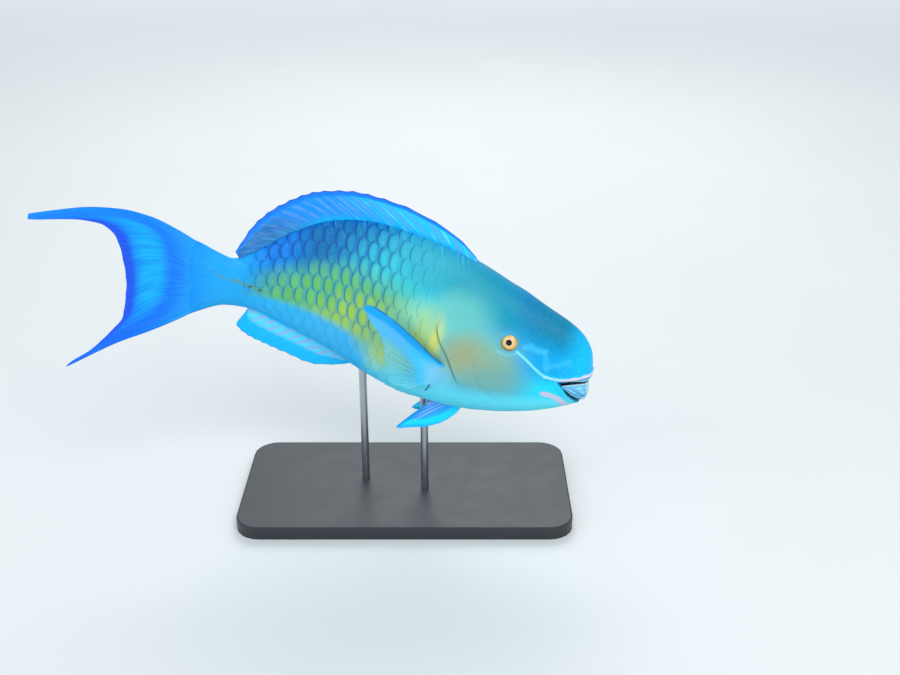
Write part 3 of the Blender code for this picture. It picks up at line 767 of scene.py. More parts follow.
def plan_mesh(side_sign):
    """The flat plan as a mesh; its points know the skin's place, its normal and where scales start."""
    along = np.linspace(PLAN_START, PLAN_END, PLAN_ROWS)[:, None] + np.zeros(PLAN_COLUMNS)
    angle = side_angles(side_sign)[None, :] + 0 * along
    side, up = ring(along, angle)
    points = np.stack([along, side, up], -1)
    out = unit(np.cross(np.gradient(points, axis=1) * side_sign, np.gradient(points, axis=0)))
    lift = swelling(along, up, behind_gill=True) - skin_depth(along, up)
    skin_place = points + out * lift[..., None]
    world = place_all(skin_place)
    girth = np.cumsum(np.linalg.norm(np.diff(points, axis=1, prepend=points[:, :1]), axis=-1), 1)

    def girth_at(off):
        return np.take_along_axis(girth, np.argmin(np.abs(off), 1)[:, None], 1)

    girth -= girth_at(np.where(np.abs(np.sin(angle)) < 0.5, up - widest_level(along), 9))
    top = girth_at(angle - pi / 2) + 0 * along
    low = girth_at(angle + pi / 2 if side_sign > 0 else angle - 3 * pi / 2) + 0 * along
    mesh = new_mesh("plan", np.stack([along, girth, 0 * along], -1),
                    grid_faces(PLAN_ROWS, PLAN_COLUMNS, close_round=False), straight=points, skin_place=world,
                    skin_out=unit(place_all(skin_place + out * 0.001) - world),
                    limits=np.stack([scale_front(up), low + BELLY_MARGIN, top - BACK_MARGIN], -1),
                    lift=np.stack([scale_lift(along, up), height_share(along, up), 0 * along], -1))
    return mesh, along[:, 0], low[:, 0], top[:, 0], girth, up


print("scales start on the nape at", round(float(NAPE_FRONT(NAPE_UP)), 3))


# %% Where the scales are rooted
ROW_PITCH = smooth_curve(((0.07, 0.0120), (0.13, 0.0145), (0.22, 0.0148), (0.27, 0.0128), (0.33, 0.0096),
                          (0.37, 0.0088)))
COLUMN_PITCH = smooth_curve(((0.07, 0.0098), (0.13, 0.0108), (0.25, 0.0108), (0.33, 0.0088), (0.37, 0.0066)))
PLATE_LENGTH, PLATE_HALF_HEIGHT = 1.75, 0.66
FIRST_ROOT, LAST_ROOT, COAT_END = PLAN_START + 0.004, 0.3500, 0.3570
MOST_ROWS = 12
PAST_BELLY, PAST_BACK, BEFORE_FRONT = 0.35, 0.45, 0.45
ROOT_JITTER, SIZE_JITTER = 0.018, 0.02


def scale_roots(side_sign, along_rows, low, top, girth, up):
    """Staggered roots, each with its plate's length, half height, place on the unwrap and two chances."""
    chance = np.random.default_rng(7 + side_sign)
    roots, sizes, spots, luck = [], [], [], []
    column, along = 0, FIRST_ROOT
    while along < LAST_ROOT:
        row_pitch, column_pitch = float(ROW_PITCH(along)), float(COLUMN_PITCH(along))
        lowest, highest = (float(np.interp(along, along_rows, line)) for line in (low, top))
        here = int(np.argmin(np.abs(along_rows - along)))
        reach = column_pitch * PLATE_LENGTH
        for row in range(-MOST_ROWS + column % 2, MOST_ROWS + 1, 2):
            across = row * row_pitch
            if not lowest - PAST_BELLY * row_pitch < across < highest + PAST_BACK * row_pitch:
                continue
            height = np.interp(across, girth[here], up[here])
            if along < scale_front(height) - BEFORE_FRONT * reach:
                continue
            jitter = chance.normal(0, ROOT_JITTER, 2)
            roots.append((along + jitter[0] * column_pitch, across + jitter[1] * row_pitch, 0))
            sizes.append((reach * (1 + chance.normal(0, SIZE_JITTER)), PLATE_HALF_HEIGHT * row_pitch, 1))
            unrolled = 0.92 * (across - lowest) / (highest - lowest) + 0.04
            spots.append((along / UNWRAP_LENGTH,
                          0.25 + 0.25 * side_sign * unrolled + (0.5 if side_sign < 0 else 0), 0))
            luck.append((chance.random(), chance.random(), 0))
        column += 1
        along += column_pitch / 2
    return new_mesh("scale_roots", roots, plate_size=sizes, unwrap_spot=spots, luck=luck)


print("rows at the shoulder are", round(1000 * float(ROW_PITCH(0.13)), 1), "mm high")


# %% One scale
PLATE_STEPS_LONG, PLATE_STEPS_WIDE = 9, 13
RIM_ROUNDNESS, CROSS_DOME, PLATE_THICKNESS = 0.22, 0.60, 0.20
ROOT_WIDTH = 0.70


def sheet_faces(rows, columns):
    """Faces of a closed sheet whose upper points come first, then its lower ones; and its edge."""
    count = rows * columns
    grid = np.arange(count).reshape(rows, columns)
    quads = np.stack([grid[:-1, :-1], grid[1:, :-1], grid[1:, 1:], grid[:-1, 1:]], -1).reshape(-1, 4)
    edge = np.concatenate([grid[0, :-1], grid[:-1, -1], grid[-1, :0:-1], grid[:0:-1, 0]])
    after = np.roll(edge, -1)
    rim = np.stack([edge, after, after + count, edge + count], -1)
    return np.concatenate([quads, quads[:, ::-1] + count, rim]), edge


def scale_plate():
    """A thin plate, root at the origin: x 0 to 1 backwards, y across, z in shares of the rim's lift."""
    u = np.linspace(0, 1, PLATE_STEPS_LONG)[:, None] ** 0.8
    v = np.linspace(-1, 1, PLATE_STEPS_WIDE)[None, :]
    widen = ROOT_WIDTH + (1 - ROOT_WIDTH) * np.sin(np.minimum(u * 1.5, 1) * pi / 2)
    x = u * (1 - RIM_ROUNDNESS * (0.55 * v ** 2 + 0.45 * v ** 6) * np.minimum(u * 1.2, 1))
    z = 0.02 + u * (1 - CROSS_DOME * v ** 4) - 0.22 * (np.maximum(u - 0.86, 0) / 0.14) ** 2
    under = z - PLATE_THICKNESS * (0.35 + 0.65 * (1 - u ** 6))
    points = [np.stack([x, v * widen, level], -1) for level in (z, under)]
    faces, edge = sheet_faces(PLATE_STEPS_LONG, PLATE_STEPS_WIDE)
    share = np.stack([u + 0 * v, v + 0 * u, 0 * u * v], -1)
    mesh = new_mesh("scale_plate", points, faces, plate_share=[share, share])
    mesh.shade_smooth()
    on_rim = {*edge.tolist(), *(edge + PLATE_STEPS_LONG * PLATE_STEPS_WIDE).tolist()}
    sharp = mesh.attributes.new("sharp_edge", "BOOLEAN", "EDGE")
    sharp.data.foreach_set("value", [on_rim.issuperset(line.vertices) for line in mesh.edges])
    return mesh


plate_object = show("one_plate", scale_plate())
print("faces in one scale:", len(plate_object.data.polygons))

# %% [markdown]
# ## The node tree that lays the scales
# The tree takes the roots, puts a plate on each, and makes the instances real. Then every point of
# every plate looks up the nearest place on the plan and moves to the skin above it. Soft limits keep
# the plates behind the gill cover and from crossing the ridge of the back and the belly. What a limit
# pushes back dives under the skin, so the first row of scales comes out of the skin as from pockets.

# %% Geometry Nodes for the coat
class Steps(Nodes):
    """The same short calls for geometry: what comes in is changed step by step."""

    family = "GeometryNode"

    def __init__(self, name):
        super().__init__(bpy.data.node_groups.new(name, "GeometryNodeTree"))
        for way in ("INPUT", "OUTPUT"):
            self.tree.interface.new_socket("Geometry", in_out=way, socket_type="NodeSocketGeometry")
        self.start, self.end = (self.tree.nodes.new("NodeGroup" + end) for end in ("Input", "Output"))

    def input(self, name, kind):
        self.tree.interface.new_socket(name, in_out="INPUT", socket_type="NodeSocket" + kind)
        return self.start.outputs[name]

    def shape_of(self, name):
        """The geometry of an object that the tree is given as a named input."""
        return self.node("ObjectInfo", output="Geometry", Object=self.input(name, "Object"))

    def vector(self, name):
        return self.node("InputNamedAttribute", {"data_type": "FLOAT_VECTOR"}, Name=name)

    def vector_math(self, operation, a, b=None, output="Vector", **more):
        return self.node("ShaderNodeVectorMath", {"operation": operation}, output, i0=a, i1=b, **more)

    def soft_over(self, value, limit, softness):
        """The value, but softly never below the limit."""
        above = value - limit
        return (above + self.math("SQRT", above * above + softness ** 2)) * 0.5 + limit

    def soft_under(self, value, limit, softness):
        """The value, but softly never above the limit."""
        return self.soft_over(value * -1.0, limit * -1.0, softness) * -1.0

    def keep(self, geometry, name, value, kind="FLOAT_VECTOR", domain="POINT"):
        return self.node("StoreNamedAttribute", {"data_type": kind, "domain": domain},
                         Geometry=geometry, Name=name, Value=value)

    def finish(self, geometry, material):
        self.feed(self.end.inputs[0], self.node("SetMaterial", Geometry=geometry, Material=material))
        return self.tree


SOFT_FRONT, SOFT_RIDGE = 0.0012, 0.0006
DIVE_SLOPE, DIVE_MOST = 0.3, 0.0006
BAKE_PATCH = 0.003


def coat_tree():
    """Steps that put a plate on every root, keep it inside its limits and wrap the plan on the skin."""
    steps = Steps("lay_scales")
    plan, plate = steps.shape_of("Plan"), steps.shape_of("Plate")
    finish = steps.input("Finish", "Material")
    laid = steps.node("InstanceOnPoints", Points=steps.start.outputs["Geometry"], Instance=plate,
                      Scale=steps.vector("plate_size"))
    real = steps.node("RealizeInstances", Geometry=laid)
    x, y, z = steps.parts(steps.node("InputPosition"))

    def look_up(name, at):
        return steps.node("SampleNearestSurface", {"data_type": "FLOAT_VECTOR"}, Mesh=plan,
                          Value=steps.vector(name), Sample_Position=at)

    flat = steps.join(x, y)
    front, lowest, highest = steps.parts(look_up("limits", flat))
    x = steps.soft_under(steps.soft_over(x, front, SOFT_FRONT), COAT_END, SOFT_FRONT)
    y = steps.soft_under(steps.soft_over(y, lowest, SOFT_RIDGE), highest, SOFT_RIDGE)
    kept = steps.join(x, y)
    pushed = steps.vector_math("LENGTH", steps.vector_math("SUBTRACT", kept, flat), output="Value")
    rim_lift, height, _ = steps.parts(look_up("lift", kept))
    lift = z * rim_lift - steps.math("MINIMUM", pushed * DIVE_SLOPE, DIVE_MOST)
    out = steps.vector_math("NORMALIZE", look_up("skin_out", kept))
    moved = steps.vector_math("ADD", look_up("skin_place", kept), steps.vector_math("SCALE", out, Scale=lift))
    marked = steps.keep(real, "straight", look_up("straight", kept))
    marked = steps.keep(marked, "height", steps.join(height, 0.0))
    placed = steps.node("SetPosition", Geometry=marked, Position=moved)
    patch = steps.vector_math("MULTIPLY", steps.vector("plate_share"), (BAKE_PATCH, BAKE_PATCH / 2, 0))
    spot_on_map = steps.vector_math("ADD", steps.vector("unwrap_spot"), patch)
    return steps.finish(steps.keep(placed, "OFBake", spot_on_map, "FLOAT2", "CORNER"), finish)


def run_tree(target, tree, **inputs):
    """Runs a node tree on an object and gives the plain mesh it makes."""
    change = target.modifiers.new("build", "NODES")
    change.node_group = tree
    sockets = {item.name: item.identifier for item in tree.interface.items_tree if item.item_type == "SOCKET"}
    for name, value in inputs.items():
        change[sockets[name]] = value
    bpy.context.view_layer.update()
    ready = target.evaluated_get(bpy.context.evaluated_depsgraph_get())
    mesh = bpy.data.meshes.new_from_object(ready)
    target.modifiers.remove(change)
    return mesh


def scale_material():
    """The colours of the skin again, with a bluer edge on each scale, partly its own colour and partly
    painted shadow behind the rim over it, a painted shade line at its hind rim and fine lines in its relief.
    """
    made, paint, shader = finish_material("glossy_scales", Coat_Weight=0.04, Coat_Roughness=0.25,
                                          Specular_IOR_Level=0.18)
    colours = use_group(paint, FISH_COLOURS)
    backwards, across, _ = paint.place("plate_share")
    chance, shift, _ = paint.place("luck")
    spot = backwards + (shift - 0.5) * 0.06 + paint.shake(300.0, 2.0, 0.10)
    middle = paint.patch(spot, across, (0.725, 0.0), (0.170, 0.82), 0.0, 0.40)
    flecks = paint.noise(1.0, 3.0, paint.join(backwards * 5.0, across * 2.5, chance * 40.0))
    # Outside each scale's middle a bluer tint: partly the scale's own edge colour, partly painted shadow just
    # behind the rim that lies over it.
    edge = paint.math("MULTIPLY", (1.0 - middle) * colours["Edge"], flecks * 1.2 + 0.40, clamp=True)
    tint = paint.mix(paint.mask(paint.place("height")[0], 0.0, 0.7), "#2898B8", "#0A58B0")
    tone = paint.mix(edge * 0.60, colours["Color"], tint)
    tone = paint.mix(chance * 0.18 * colours["Edge"], tone, "#FFFFFF", "SOFT_LIGHT")
    # A painted shade line along each scale's hind rim, where it lies over the next scale.
    tip = paint.mask(backwards, 0.90, 0.985) * 0.58
    tone = paint.mix(tip * colours["Line"], tone, "#4070A4", "MULTIPLY")
    paint.feed(shader["Base Color"], tone)
    rings = paint.math("SINE", backwards * 60.0)
    rays = paint.math("SINE", across / (backwards + 0.15) * 24.0)
    paint.feed(shader["Normal"], paint.bump(rings * 0.5 + rays * 0.5, 0.18, 0.00010))
    paint.feed(shader["Roughness"], colours["Speckle"] * 0.16 + 0.40)
    return made


SCALES = scale_material()
LAY_SCALES = coat_tree()


def lay_coat(name, side_sign):
    """Makes the coat of one flank."""
    plan, *rows = plan_mesh(side_sign)
    plan_object = show("plan", plan)
    roots = show("roots", scale_roots(side_sign, *rows))
    mesh = run_tree(roots, LAY_SCALES, Plan=plan_object, Plate=plate_object, Finish=SCALES)
    print(name, "scales:", len(roots.data.vertices), "faces:", len(mesh.polygons))
    for helper in (plan_object, roots):
        bpy.data.objects.remove(helper)
    mesh.name = name
    close_shell(mesh)
    coat = show(name, mesh)
    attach(coat, "root")


lay_coat("coat_right", -1)
lay_coat("coat_left", 1)
bpy.data.objects.remove(plate_object)

# %% [markdown]
# ## Fins
# A fin is a thin membrane held up by rays. Spines and rays of the back fin lean strongly backwards,
# those of the tail fork again and again, and the breast fin is clear enough behind its leading edge to
# see the flank through it. Each fin is a fine grid between its base and its outline. Its rays are
# drawn as single lines on that grid, and Geometry Nodes thicken them into tapering rods and join them
# to the membrane.

# %% Fin outlines
DORSAL_BASE = (0.113, 0.317)
DORSAL_EDGE = ((0.1115, 0.0585), (0.1175, 0.0640), (0.128, 0.0718), (0.149, 0.082), (0.186, 0.092),
               (0.221, 0.095), (0.255, 0.090), (0.287, 0.074), (0.307, 0.056), (0.322, 0.030))
DORSAL_LEAN = ((0.110, 0.110), (0.150, 0.1310), (0.190, 0.153), (0.220, 0.180), (0.250, 0.213),
               (0.300, 0.262), (0.324, 0.292))
ANAL_BASE = (0.209, 0.306)
ANAL_EDGE = ((0.209, -0.064), (0.226, -0.070), (0.245, -0.0725), (0.272, -0.065), (0.291, -0.058),
             (0.307, -0.050), (0.317, -0.039), (0.310, -0.0275))
ANAL_LEAN = ((0.205, 0.205), (0.245, 0.218), (0.272, 0.236), (0.300, 0.265), (0.320, 0.294))
BASE_SINK, ROOT_PINCH = 0.0030, 0.035
CAUDAL_ROOT = 0.3523
CAUDAL_TOP = ((CAUDAL_ROOT, 0.0383), (0.372, 0.0505), (0.395, 0.0625), (0.420, 0.070), (0.445, 0.0725),
              (0.470, 0.0710), (0.490, 0.0690))
CAUDAL_BOTTOM = ((CAUDAL_ROOT, -0.0262), (0.366, -0.0325), (0.392, -0.042), (0.417, -0.049),
                 (0.436, -0.056), (0.450, -0.062), (0.462, -0.0670))
CAUDAL_TRAILING = ((0.490, 0.0690), (0.4905, 0.0645), (0.455, 0.0625), (0.435, 0.058), (0.424, 0.048),
                   (0.418, 0.032), (0.413, 0.0), (0.415, -0.026), (0.426, -0.040), (0.442, -0.054),
                   (0.461, -0.0652), (0.462, -0.0670))
PECTORAL_BASE = ((0.117, -0.031), (0.131, -0.052))
PECTORAL_EDGE = ((0.122, -0.026), (0.131, -0.019), (0.149, -0.003), (0.168, 0.010), (0.187, 0.018),
                 (0.193, 0.016), (0.186, 0.005), (0.173, -0.012), (0.168, -0.034), (0.163, -0.054),
                 (0.147, -0.058))
PECTORAL_SPREAD, PECTORAL_SINK, PECTORAL_GAP = 0.28, 0.0022, 0.0006
PELVIC_BASE, PELVIC_SIDE = (0.104, 0.129), 0.006
PELVIC_SPREAD, PELVIC_SINK = 0.30, 0.0015
PELVIC_EDGE = ((0.107, -0.0825), (0.116, -0.092), (0.132, -0.101), (0.158, -0.1065), (0.151, -0.097),
               (0.1435, -0.0885), (0.1365, -0.0805))


def median_fin(base, edge, lean, ridge_line, sink):
    """Middle line fin: gives its place from shares along base and out, and each place's ray."""
    start, end = base
    edge_path, lean = smooth_path(edge), smooth_curve(lean)

    def point(t, out):
        foot_along = start + (end - start) * t
        foot_up = ridge_line(foot_along) + sink
        tip_along, tip_up = np.moveaxis(on_path(edge_path, t), -1, 0)
        return foot_along + (tip_along - foot_along) * out, 0 * t, foot_up + (tip_up - foot_up) * out

    def ray(t, out):
        along = point(t, out)[0]
        return ((1 - out) * along + out * lean(along) - start) / (end - start)

    return point, ray


def caudal_point(t, out):
    """Tail fin: t from the upper edge down, out from the root back."""
    top, bottom, back_edge = (smooth_path(edge) for edge in (CAUDAL_TOP, CAUDAL_BOTTOM, CAUDAL_TRAILING))
    t1, o1 = t[..., None], out[..., None]
    sides = (1 - t1) * on_path(top, out) + t1 * on_path(bottom, out)
    ends = (1 - o1) * (top[0] + (bottom[0] - top[0]) * t1) + o1 * on_path(back_edge, t)
    corners = ((1 - t1) * (1 - o1) * top[0] + t1 * (1 - o1) * bottom[0]
               + (1 - t1) * o1 * back_edge[0] + t1 * o1 * back_edge[-1])
    spot = sides + ends - corners
    return spot[..., 0], 0 * t, spot[..., 1] * (1 - ROOT_PINCH * (1 - out) ** 8)


def paired_fin(base, edge, spread):
    """A fin that stands off the flank: the spread gives its side from along, up and the share out."""
    edge_path, base = smooth_path(edge), np.array(base)

    def point(t, out):
        foot = base[0] + (base[1] - base[0]) * t[..., None]
        along, up = np.moveaxis(foot + (on_path(edge_path, t) - foot) * out[..., None], -1, 0)
        return along, spread(along, up, out), up

    return point


def pectoral_side(along, up, out):
    """On the flank at its foot, and further off it towards the tip."""
    away = PECTORAL_SPREAD * np.maximum(along - PECTORAL_BASE[0][0], 0) * out ** 0.7
    return flank(along, up) - PECTORAL_SINK * (1 - out) ** 6 + PECTORAL_GAP + away


def pelvic_side(along, _, out):
    """Near the middle at its foot, and further out towards the tip."""
    return PELVIC_SIDE + PELVIC_SPREAD * (along - PELVIC_BASE[0]) * out


def underside(along, side):
    """Height of the belly's surface at a distance from the midline."""
    level = widest_level(along)
    share = np.clip(side / half_width(along), 0, 1)
    return level - (level - belly(along)) * (1 - share ** BELLY_ROUNDNESS) ** (1 / BELLY_ROUNDNESS)


PELVIC_FEET = [(along, underside(along, PELVIC_SIDE) + PELVIC_SINK) for along in PELVIC_BASE]
print("fin outlines:", len(DORSAL_EDGE) + len(ANAL_EDGE) + len(CAUDAL_TRAILING), "edge points")

# %% Membrane and ray lines
FIN_STEPS_ALONG, FIN_STEPS_OUT = 200, 36
MEMBRANE_HALF, RAY_ROOT, RAY_TIP = 0.00028, 0.00060, 0.00028
WAVE_START = 0.25
RAY_STEPS, RAY_END = 22, 0.985
FIRST_FORK, SECOND_FORK = (0.38, 0.40), (0.68, 0.70)
MIDDLE_SPREAD, TIP_SPREAD = 0.24, 0.12
MIDDLE_THIN, TIP_THIN = 0.75, 0.6


def sway(t, out, wave):
    """How far a fin's sheet waves to the side; its base stays straight."""
    return wave * np.sin(3.1 * pi * t + 1.0) * (np.maximum(out - WAVE_START, 0) / (1 - WAVE_START)) ** 1.5


def membrane_mesh(name, point, ray, ray_places, sign, scallop, wave):
    """A thin closed sheet; between two rays its edge draws in a little and its surface sinks."""
    t = np.linspace(0, 1, FIN_STEPS_ALONG)[:, None] + np.zeros(FIN_STEPS_OUT)
    out = np.linspace(0, 1, FIN_STEPS_OUT)[None, :] + 0 * t
    place_on_rays = ray(t, out)
    places = np.array(ray_places)
    after = np.clip(np.searchsorted(places, place_on_rays), 1, len(places) - 1)
    gap = places[after] - places[after - 1]
    between = np.sin(pi * np.clip((place_on_rays - places[after - 1]) / gap, 0, 1))
    along, side, up = point(t, out * (1 - scallop * between[:, -1:] * out ** 4))
    side = side + sway(t, out, wave)
    points = np.stack([along, side, up], -1)
    normal = unit(np.cross(np.gradient(points, axis=0), np.gradient(points, axis=1)))
    edge_thin = np.minimum(1, (1 - out) * 9 + 0.25) * np.minimum(1, np.minimum(t, 1 - t) * 60 + 0.3)
    half = MEMBRANE_HALF * edge_thin * (1.5 - 0.6 * between) * (1.7 - 0.7 * out)
    mirror = np.array([1, sign, 1])
    world = [place_all((points + way * normal * half[..., None]) * mirror) for way in (1, -1)]
    return new_mesh(name, world, sheet_faces(*t.shape)[0], straight=[points * mirror] * 2,
                    fin_share=[np.stack([place_on_rays, out, between], -1)] * 2)


def ray_pieces(ray_places, forks):
    """Each ray and each of its forks: from where to where across, from where to where out, how thick."""
    spacing = 1 / max(len(ray_places), 2)
    for centre in ray_places:
        if not forks:
            yield centre, centre, 0.0, RAY_END, 1.0
            continue
        yield centre, centre, 0.0, FIRST_FORK[1], 1.0
        for one in (-1, 1):
            middle = centre + one * spacing * MIDDLE_SPREAD
            yield centre, middle, FIRST_FORK[0], SECOND_FORK[1], MIDDLE_THIN
            for two in (-1, 1):
                yield middle, middle + two * spacing * TIP_SPREAD, SECOND_FORK[0], RAY_END, TIP_THIN


def ray_lines(point, ray, ray_places, sign, wave, forks, thick):
    """Ray lines as loose edges, each point with its radius. Forked rays split in two, then in four."""
    fine = np.linspace(0, 1, 801)
    straight, edges, shares, radii = [], [], [], []
    for from_place, to_place, low, high, thin in ray_pieces(ray_places, forks):
        for k in range(RAY_STEPS):
            done = k / (RAY_STEPS - 1)
            out = low + (high - low) * done
            wanted = from_place + (to_place - from_place) * min(1, 3 * done)
            t = np.interp(wanted, ray(fine, np.full_like(fine, out)), fine)
            along, side, up = point(np.array(t), np.array(out))
            if k:
                edges.append((len(straight) - 1, len(straight)))
            straight.append((float(along), sign * float(side + sway(t, out, wave)), float(up)))
            shares.append((wanted, out, 0.0))
            radii.append(((RAY_ROOT + (RAY_TIP - RAY_ROOT) * out) * thick * thin, 0, 0))
    return new_mesh("ray_lines", place_all(np.array(straight)), edges=edges, straight=straight,
                    fin_share=shares, ray_radius=radii)


print("a forked ray has", len(list(ray_pieces([0.5], forks=True))), "pieces")


# %% Geometry Nodes for rays
def fin_tree():
    """Steps that turn ray lines into round rods and join them to the membrane."""
    steps = Steps("grow_rays")
    curves = steps.node("MeshToCurve", i0=steps.shape_of("Rays"))
    finish = steps.input("Finish", "Material")
    radius = steps.parts(steps.vector("ray_radius"))[0]
    ring_line = steps.node("CurvePrimitiveCircle", output="Curve", Resolution=6, Radius=1.0)
    sized = steps.node("SetCurveRadius", Curve=curves, Radius=radius)
    rods = steps.add("CurveToMesh", Curve=sized, Profile_Curve=ring_line, Fill_Caps=True)
    if "Scale" in rods.inputs:
        steps.feed(rods.inputs["Scale"], radius)
    joined = steps.add("JoinGeometry")
    for part in (rods.outputs[0], steps.start.outputs["Geometry"]):
        steps.feed(joined.inputs[0], part)
    return steps.finish(steps.node("RealizeInstances", Geometry=joined.outputs[0]), finish)


GROW_RAYS = fin_tree()


def same_ray(t, out):
    """For fins whose rays all run straight out from the base."""
    return t + 0 * out


def make_fin(name, nodes, point, ray, ray_places, finish, sign=1, scallop=0.0, wave=0.0, forks=False,
             thick=1.0):
    """Joins membrane and rays into one fin, puts it on the root body and hides the solids it stands for."""
    membrane = show(name, membrane_mesh(name, point, ray, ray_places, sign, scallop, wave))
    lines = show("lines", ray_lines(point, ray, ray_places, sign, wave, forks, thick))
    mesh = run_tree(membrane, GROW_RAYS, Rays=lines, Finish=finish)
    for helper in (lines, membrane):
        bpy.data.objects.remove(helper)
    mesh.name = name
    close_shell(mesh)
    mesh.shade_smooth()
    fin = show(name, mesh)
    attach(fin, "root")
    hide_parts(*nodes)
    print(name, "faces:", len(mesh.polygons))


# %% Fin colours
def fin_material(name, paint_fin):
    """A fin finish; its paint gets shares along the rays' order, out from the base, and between rays."""
    tree, paint, out = node_group(name + "_colours", Base_Color="Color", Alpha="Float", Height="Float")
    order, reach, between = paint.place("fin_share")
    tone, alpha = paint_fin(paint, order, reach, between)
    grain = paint.streaks(order, 90.0, reach, 3.0)
    pale = paint.mix(0.10, tone, "#70D0FF")
    paint.feed(out["Base Color"], paint.mix(paint.mask(grain, 0.3, 0.8), tone, pale))
    paint.feed(out["Alpha"], alpha)
    paint.feed(out["Height"], grain)
    return group_material(name, tree, bump=(0.3, 0.0002), Roughness=0.42, Coat_Weight=0.04,
                          Coat_Roughness=0.2, Specular_IOR_Level=0.18)


def dorsal_paint(paint, order, reach, between):
    flecks = paint.streaks(order, 95.0, reach, 2.5)
    streak = paint.mask(between, 0.60, 1.0) * paint.mask(reach, 0.16, 0.30) * paint.mask(reach, 0.90, 0.70)
    spine = paint.mask(between, 0.42, 0.12) * paint.mask(order, 0.64, 0.30) * paint.mask(reach, 0.88, 0.70)
    rear = paint.mask(order, 0.62, 0.82) * paint.mask(reach, 0.95, 0.60)
    dusk = paint.mix(paint.mask(flecks, 0.35, 0.65), "#2468A8", "#4C90C4")
    tone = paint.cover(
        "#0494FF",
        (paint.mask(order, 0.55, 0.20), "#00CCFC"),
        (paint.mask(reach, 0.35, 0.05), "#00BCFF"),
        (streak * paint.mask(flecks, 0.30, 0.55) * 0.66, "#6CA4F4"),
        (spine * paint.mask(flecks, 0.40, 0.60) * 0.75, "#8CE4FF"),
        (paint.mask(reach, 0.80, 0.90), "#087CFA"),
        (paint.mask(reach, 0.955, 0.985), "#0444C0"),
        (rear * 0.80, dusk))
    return tone, 1.0 - rear * between * 0.12


def anal_paint(paint, order, reach, between):
    band = paint.mask(reach, 0.10, 0.24) * paint.mask(reach, 0.62, 0.44)
    flecks = paint.mask(paint.streaks(order, 46.0, reach, 3.0), 0.36, 0.56)
    tone = paint.cover(
        "#2CF0FF",
        (paint.mask(reach, 0.0, 0.12), "#00C0FF"),
        (band * 0.75, "#64F0FF"),
        (band * paint.mask(between, 0.35, 0.85) * flecks * 0.85, "#98B8F0"),
        (paint.mask(reach, 0.97, 0.995), "#0A70D8"))
    return tone, 1.0


def caudal_paint(paint, order, reach, _):
    ends = paint.math("MAXIMUM", paint.mask(order, 0.22, 0.05), paint.mask(order, 0.80, 0.95))
    middle = paint.mask(order, 0.08, 0.22) * paint.mask(order, 0.96, 0.80)
    threads = paint.mask(paint.streaks(order, 130.0, reach, 2.0), 0.40, 0.66) * 0.42
    tone = paint.cover(
        "#1CA6F6",
        (paint.mask(reach, 0.04, 0.45), "#0084FF"),
        (paint.patch(reach, order, (0.66, 0.52), (0.17, 0.34), 0, 0.6), "#00BCFF"),
        (ends * paint.mask(reach, 0.05, 0.40) * 0.7, "#0090FF"),
        (paint.mask(order, 0.66, 0.90) * paint.mask(reach, 0.2, 0.7) * 0.8, "#0068F8"),
        (middle * paint.mask(reach, 0.84, 0.93), "#1C54EE"),
        (threads * (paint.mask(reach, 0.05, 0.35) * 0.5 + 0.5), "#0058E0"))
    return tone, 1.0


def pectoral_paint(paint, _, reach, between):
    along, _, up = paint.place()
    leading = PECTORAL_EDGE[:5]
    clear = 1.0 - paint.line(along, up, leading, 0.0125, 0.0110)
    tone = paint.cover(
        "#54BCF0",
        (paint.line(along, up, leading, 0.0062, 0.0030), "#00A8F8"),
        (paint.line(along, up, leading, 0.0003, 0.0005) * 0.8, "#0A3C8C"),
        (clear, "#70DCF0"),
        (paint.mask(between, 0.22, 0.05) * clear * 0.6, "#B4F0F8"),
        (paint.mask(reach, 0.55, 0.20), "#34CCFC"),
        (paint.mask(reach, 0.30, 0.06), "#84D4F8"))
    see = clear * paint.mask(reach, 0.25, 0.55) * (paint.mask(between, 0.1, 0.4) * 0.38 + 0.30)
    return tone, 1.0 - see


def pelvic_paint(paint, order, reach, between):
    along, _, up = paint.place()
    streak = paint.mask(between, 0.4, 0.1) * paint.mask(order, 0.40, 0.6) * paint.mask(reach, 0.8, 0.4)
    tone = paint.cover(
        "#2CA8FC",
        (paint.line(along, up, PELVIC_EDGE[:4], 0.0052, 0.0030), "#00DCFF"),
        (streak * 0.7, "#F0C8DC"),
        (paint.mask(reach, 0.80, 0.97), "#10B4FF"),
        (paint.mask(order, 0.05, 0.0), "#B0D8F4"))
    return tone, 1.0


print("paint for the back, belly, tail, breast and hip fins")

# %% The fins themselves
DORSAL_RAYS = [0.0, *np.linspace(0.03, 0.50, 8), *np.linspace(0.545, 0.93, 10), 0.99]
ANAL_RAYS = [0.0, 0.03, 0.09, 0.16, *np.linspace(0.24, 0.92, 9), 0.99]
CAUDAL_RAYS = np.linspace(0.02, 0.98, 14)
PECTORAL_RAYS = np.linspace(0.01, 0.99, 22) ** 0.95
PELVIC_RAYS = [0.02, 0.2, 0.36, 0.53, 0.70, 0.87, 0.98]
dorsal = median_fin(DORSAL_BASE, DORSAL_EDGE, DORSAL_LEAN, back, -BASE_SINK)
anal = median_fin(ANAL_BASE, ANAL_EDGE, ANAL_LEAN, belly, BASE_SINK)
make_fin("dorsal_fin_rayed", ["dorsal_fin"], *dorsal, DORSAL_RAYS,
         fin_material("blue_back_fin", dorsal_paint), scallop=0.035, wave=0.0010)
make_fin("anal_fin_rayed", ["anal_fin"], *anal, ANAL_RAYS,
         fin_material("cyan_belly_fin", anal_paint), scallop=0.03, wave=0.0008)
make_fin("caudal_fin_rayed", ["caudal_fin_upper", "caudal_fin_middle", "caudal_fin_lower"],
         caudal_point, same_ray, CAUDAL_RAYS,
         fin_material("blue_tail_fin", caudal_paint), scallop=0.006, wave=0.0012, forks=True)
pectoral_finish = fin_material("clear_breast_fin", pectoral_paint)
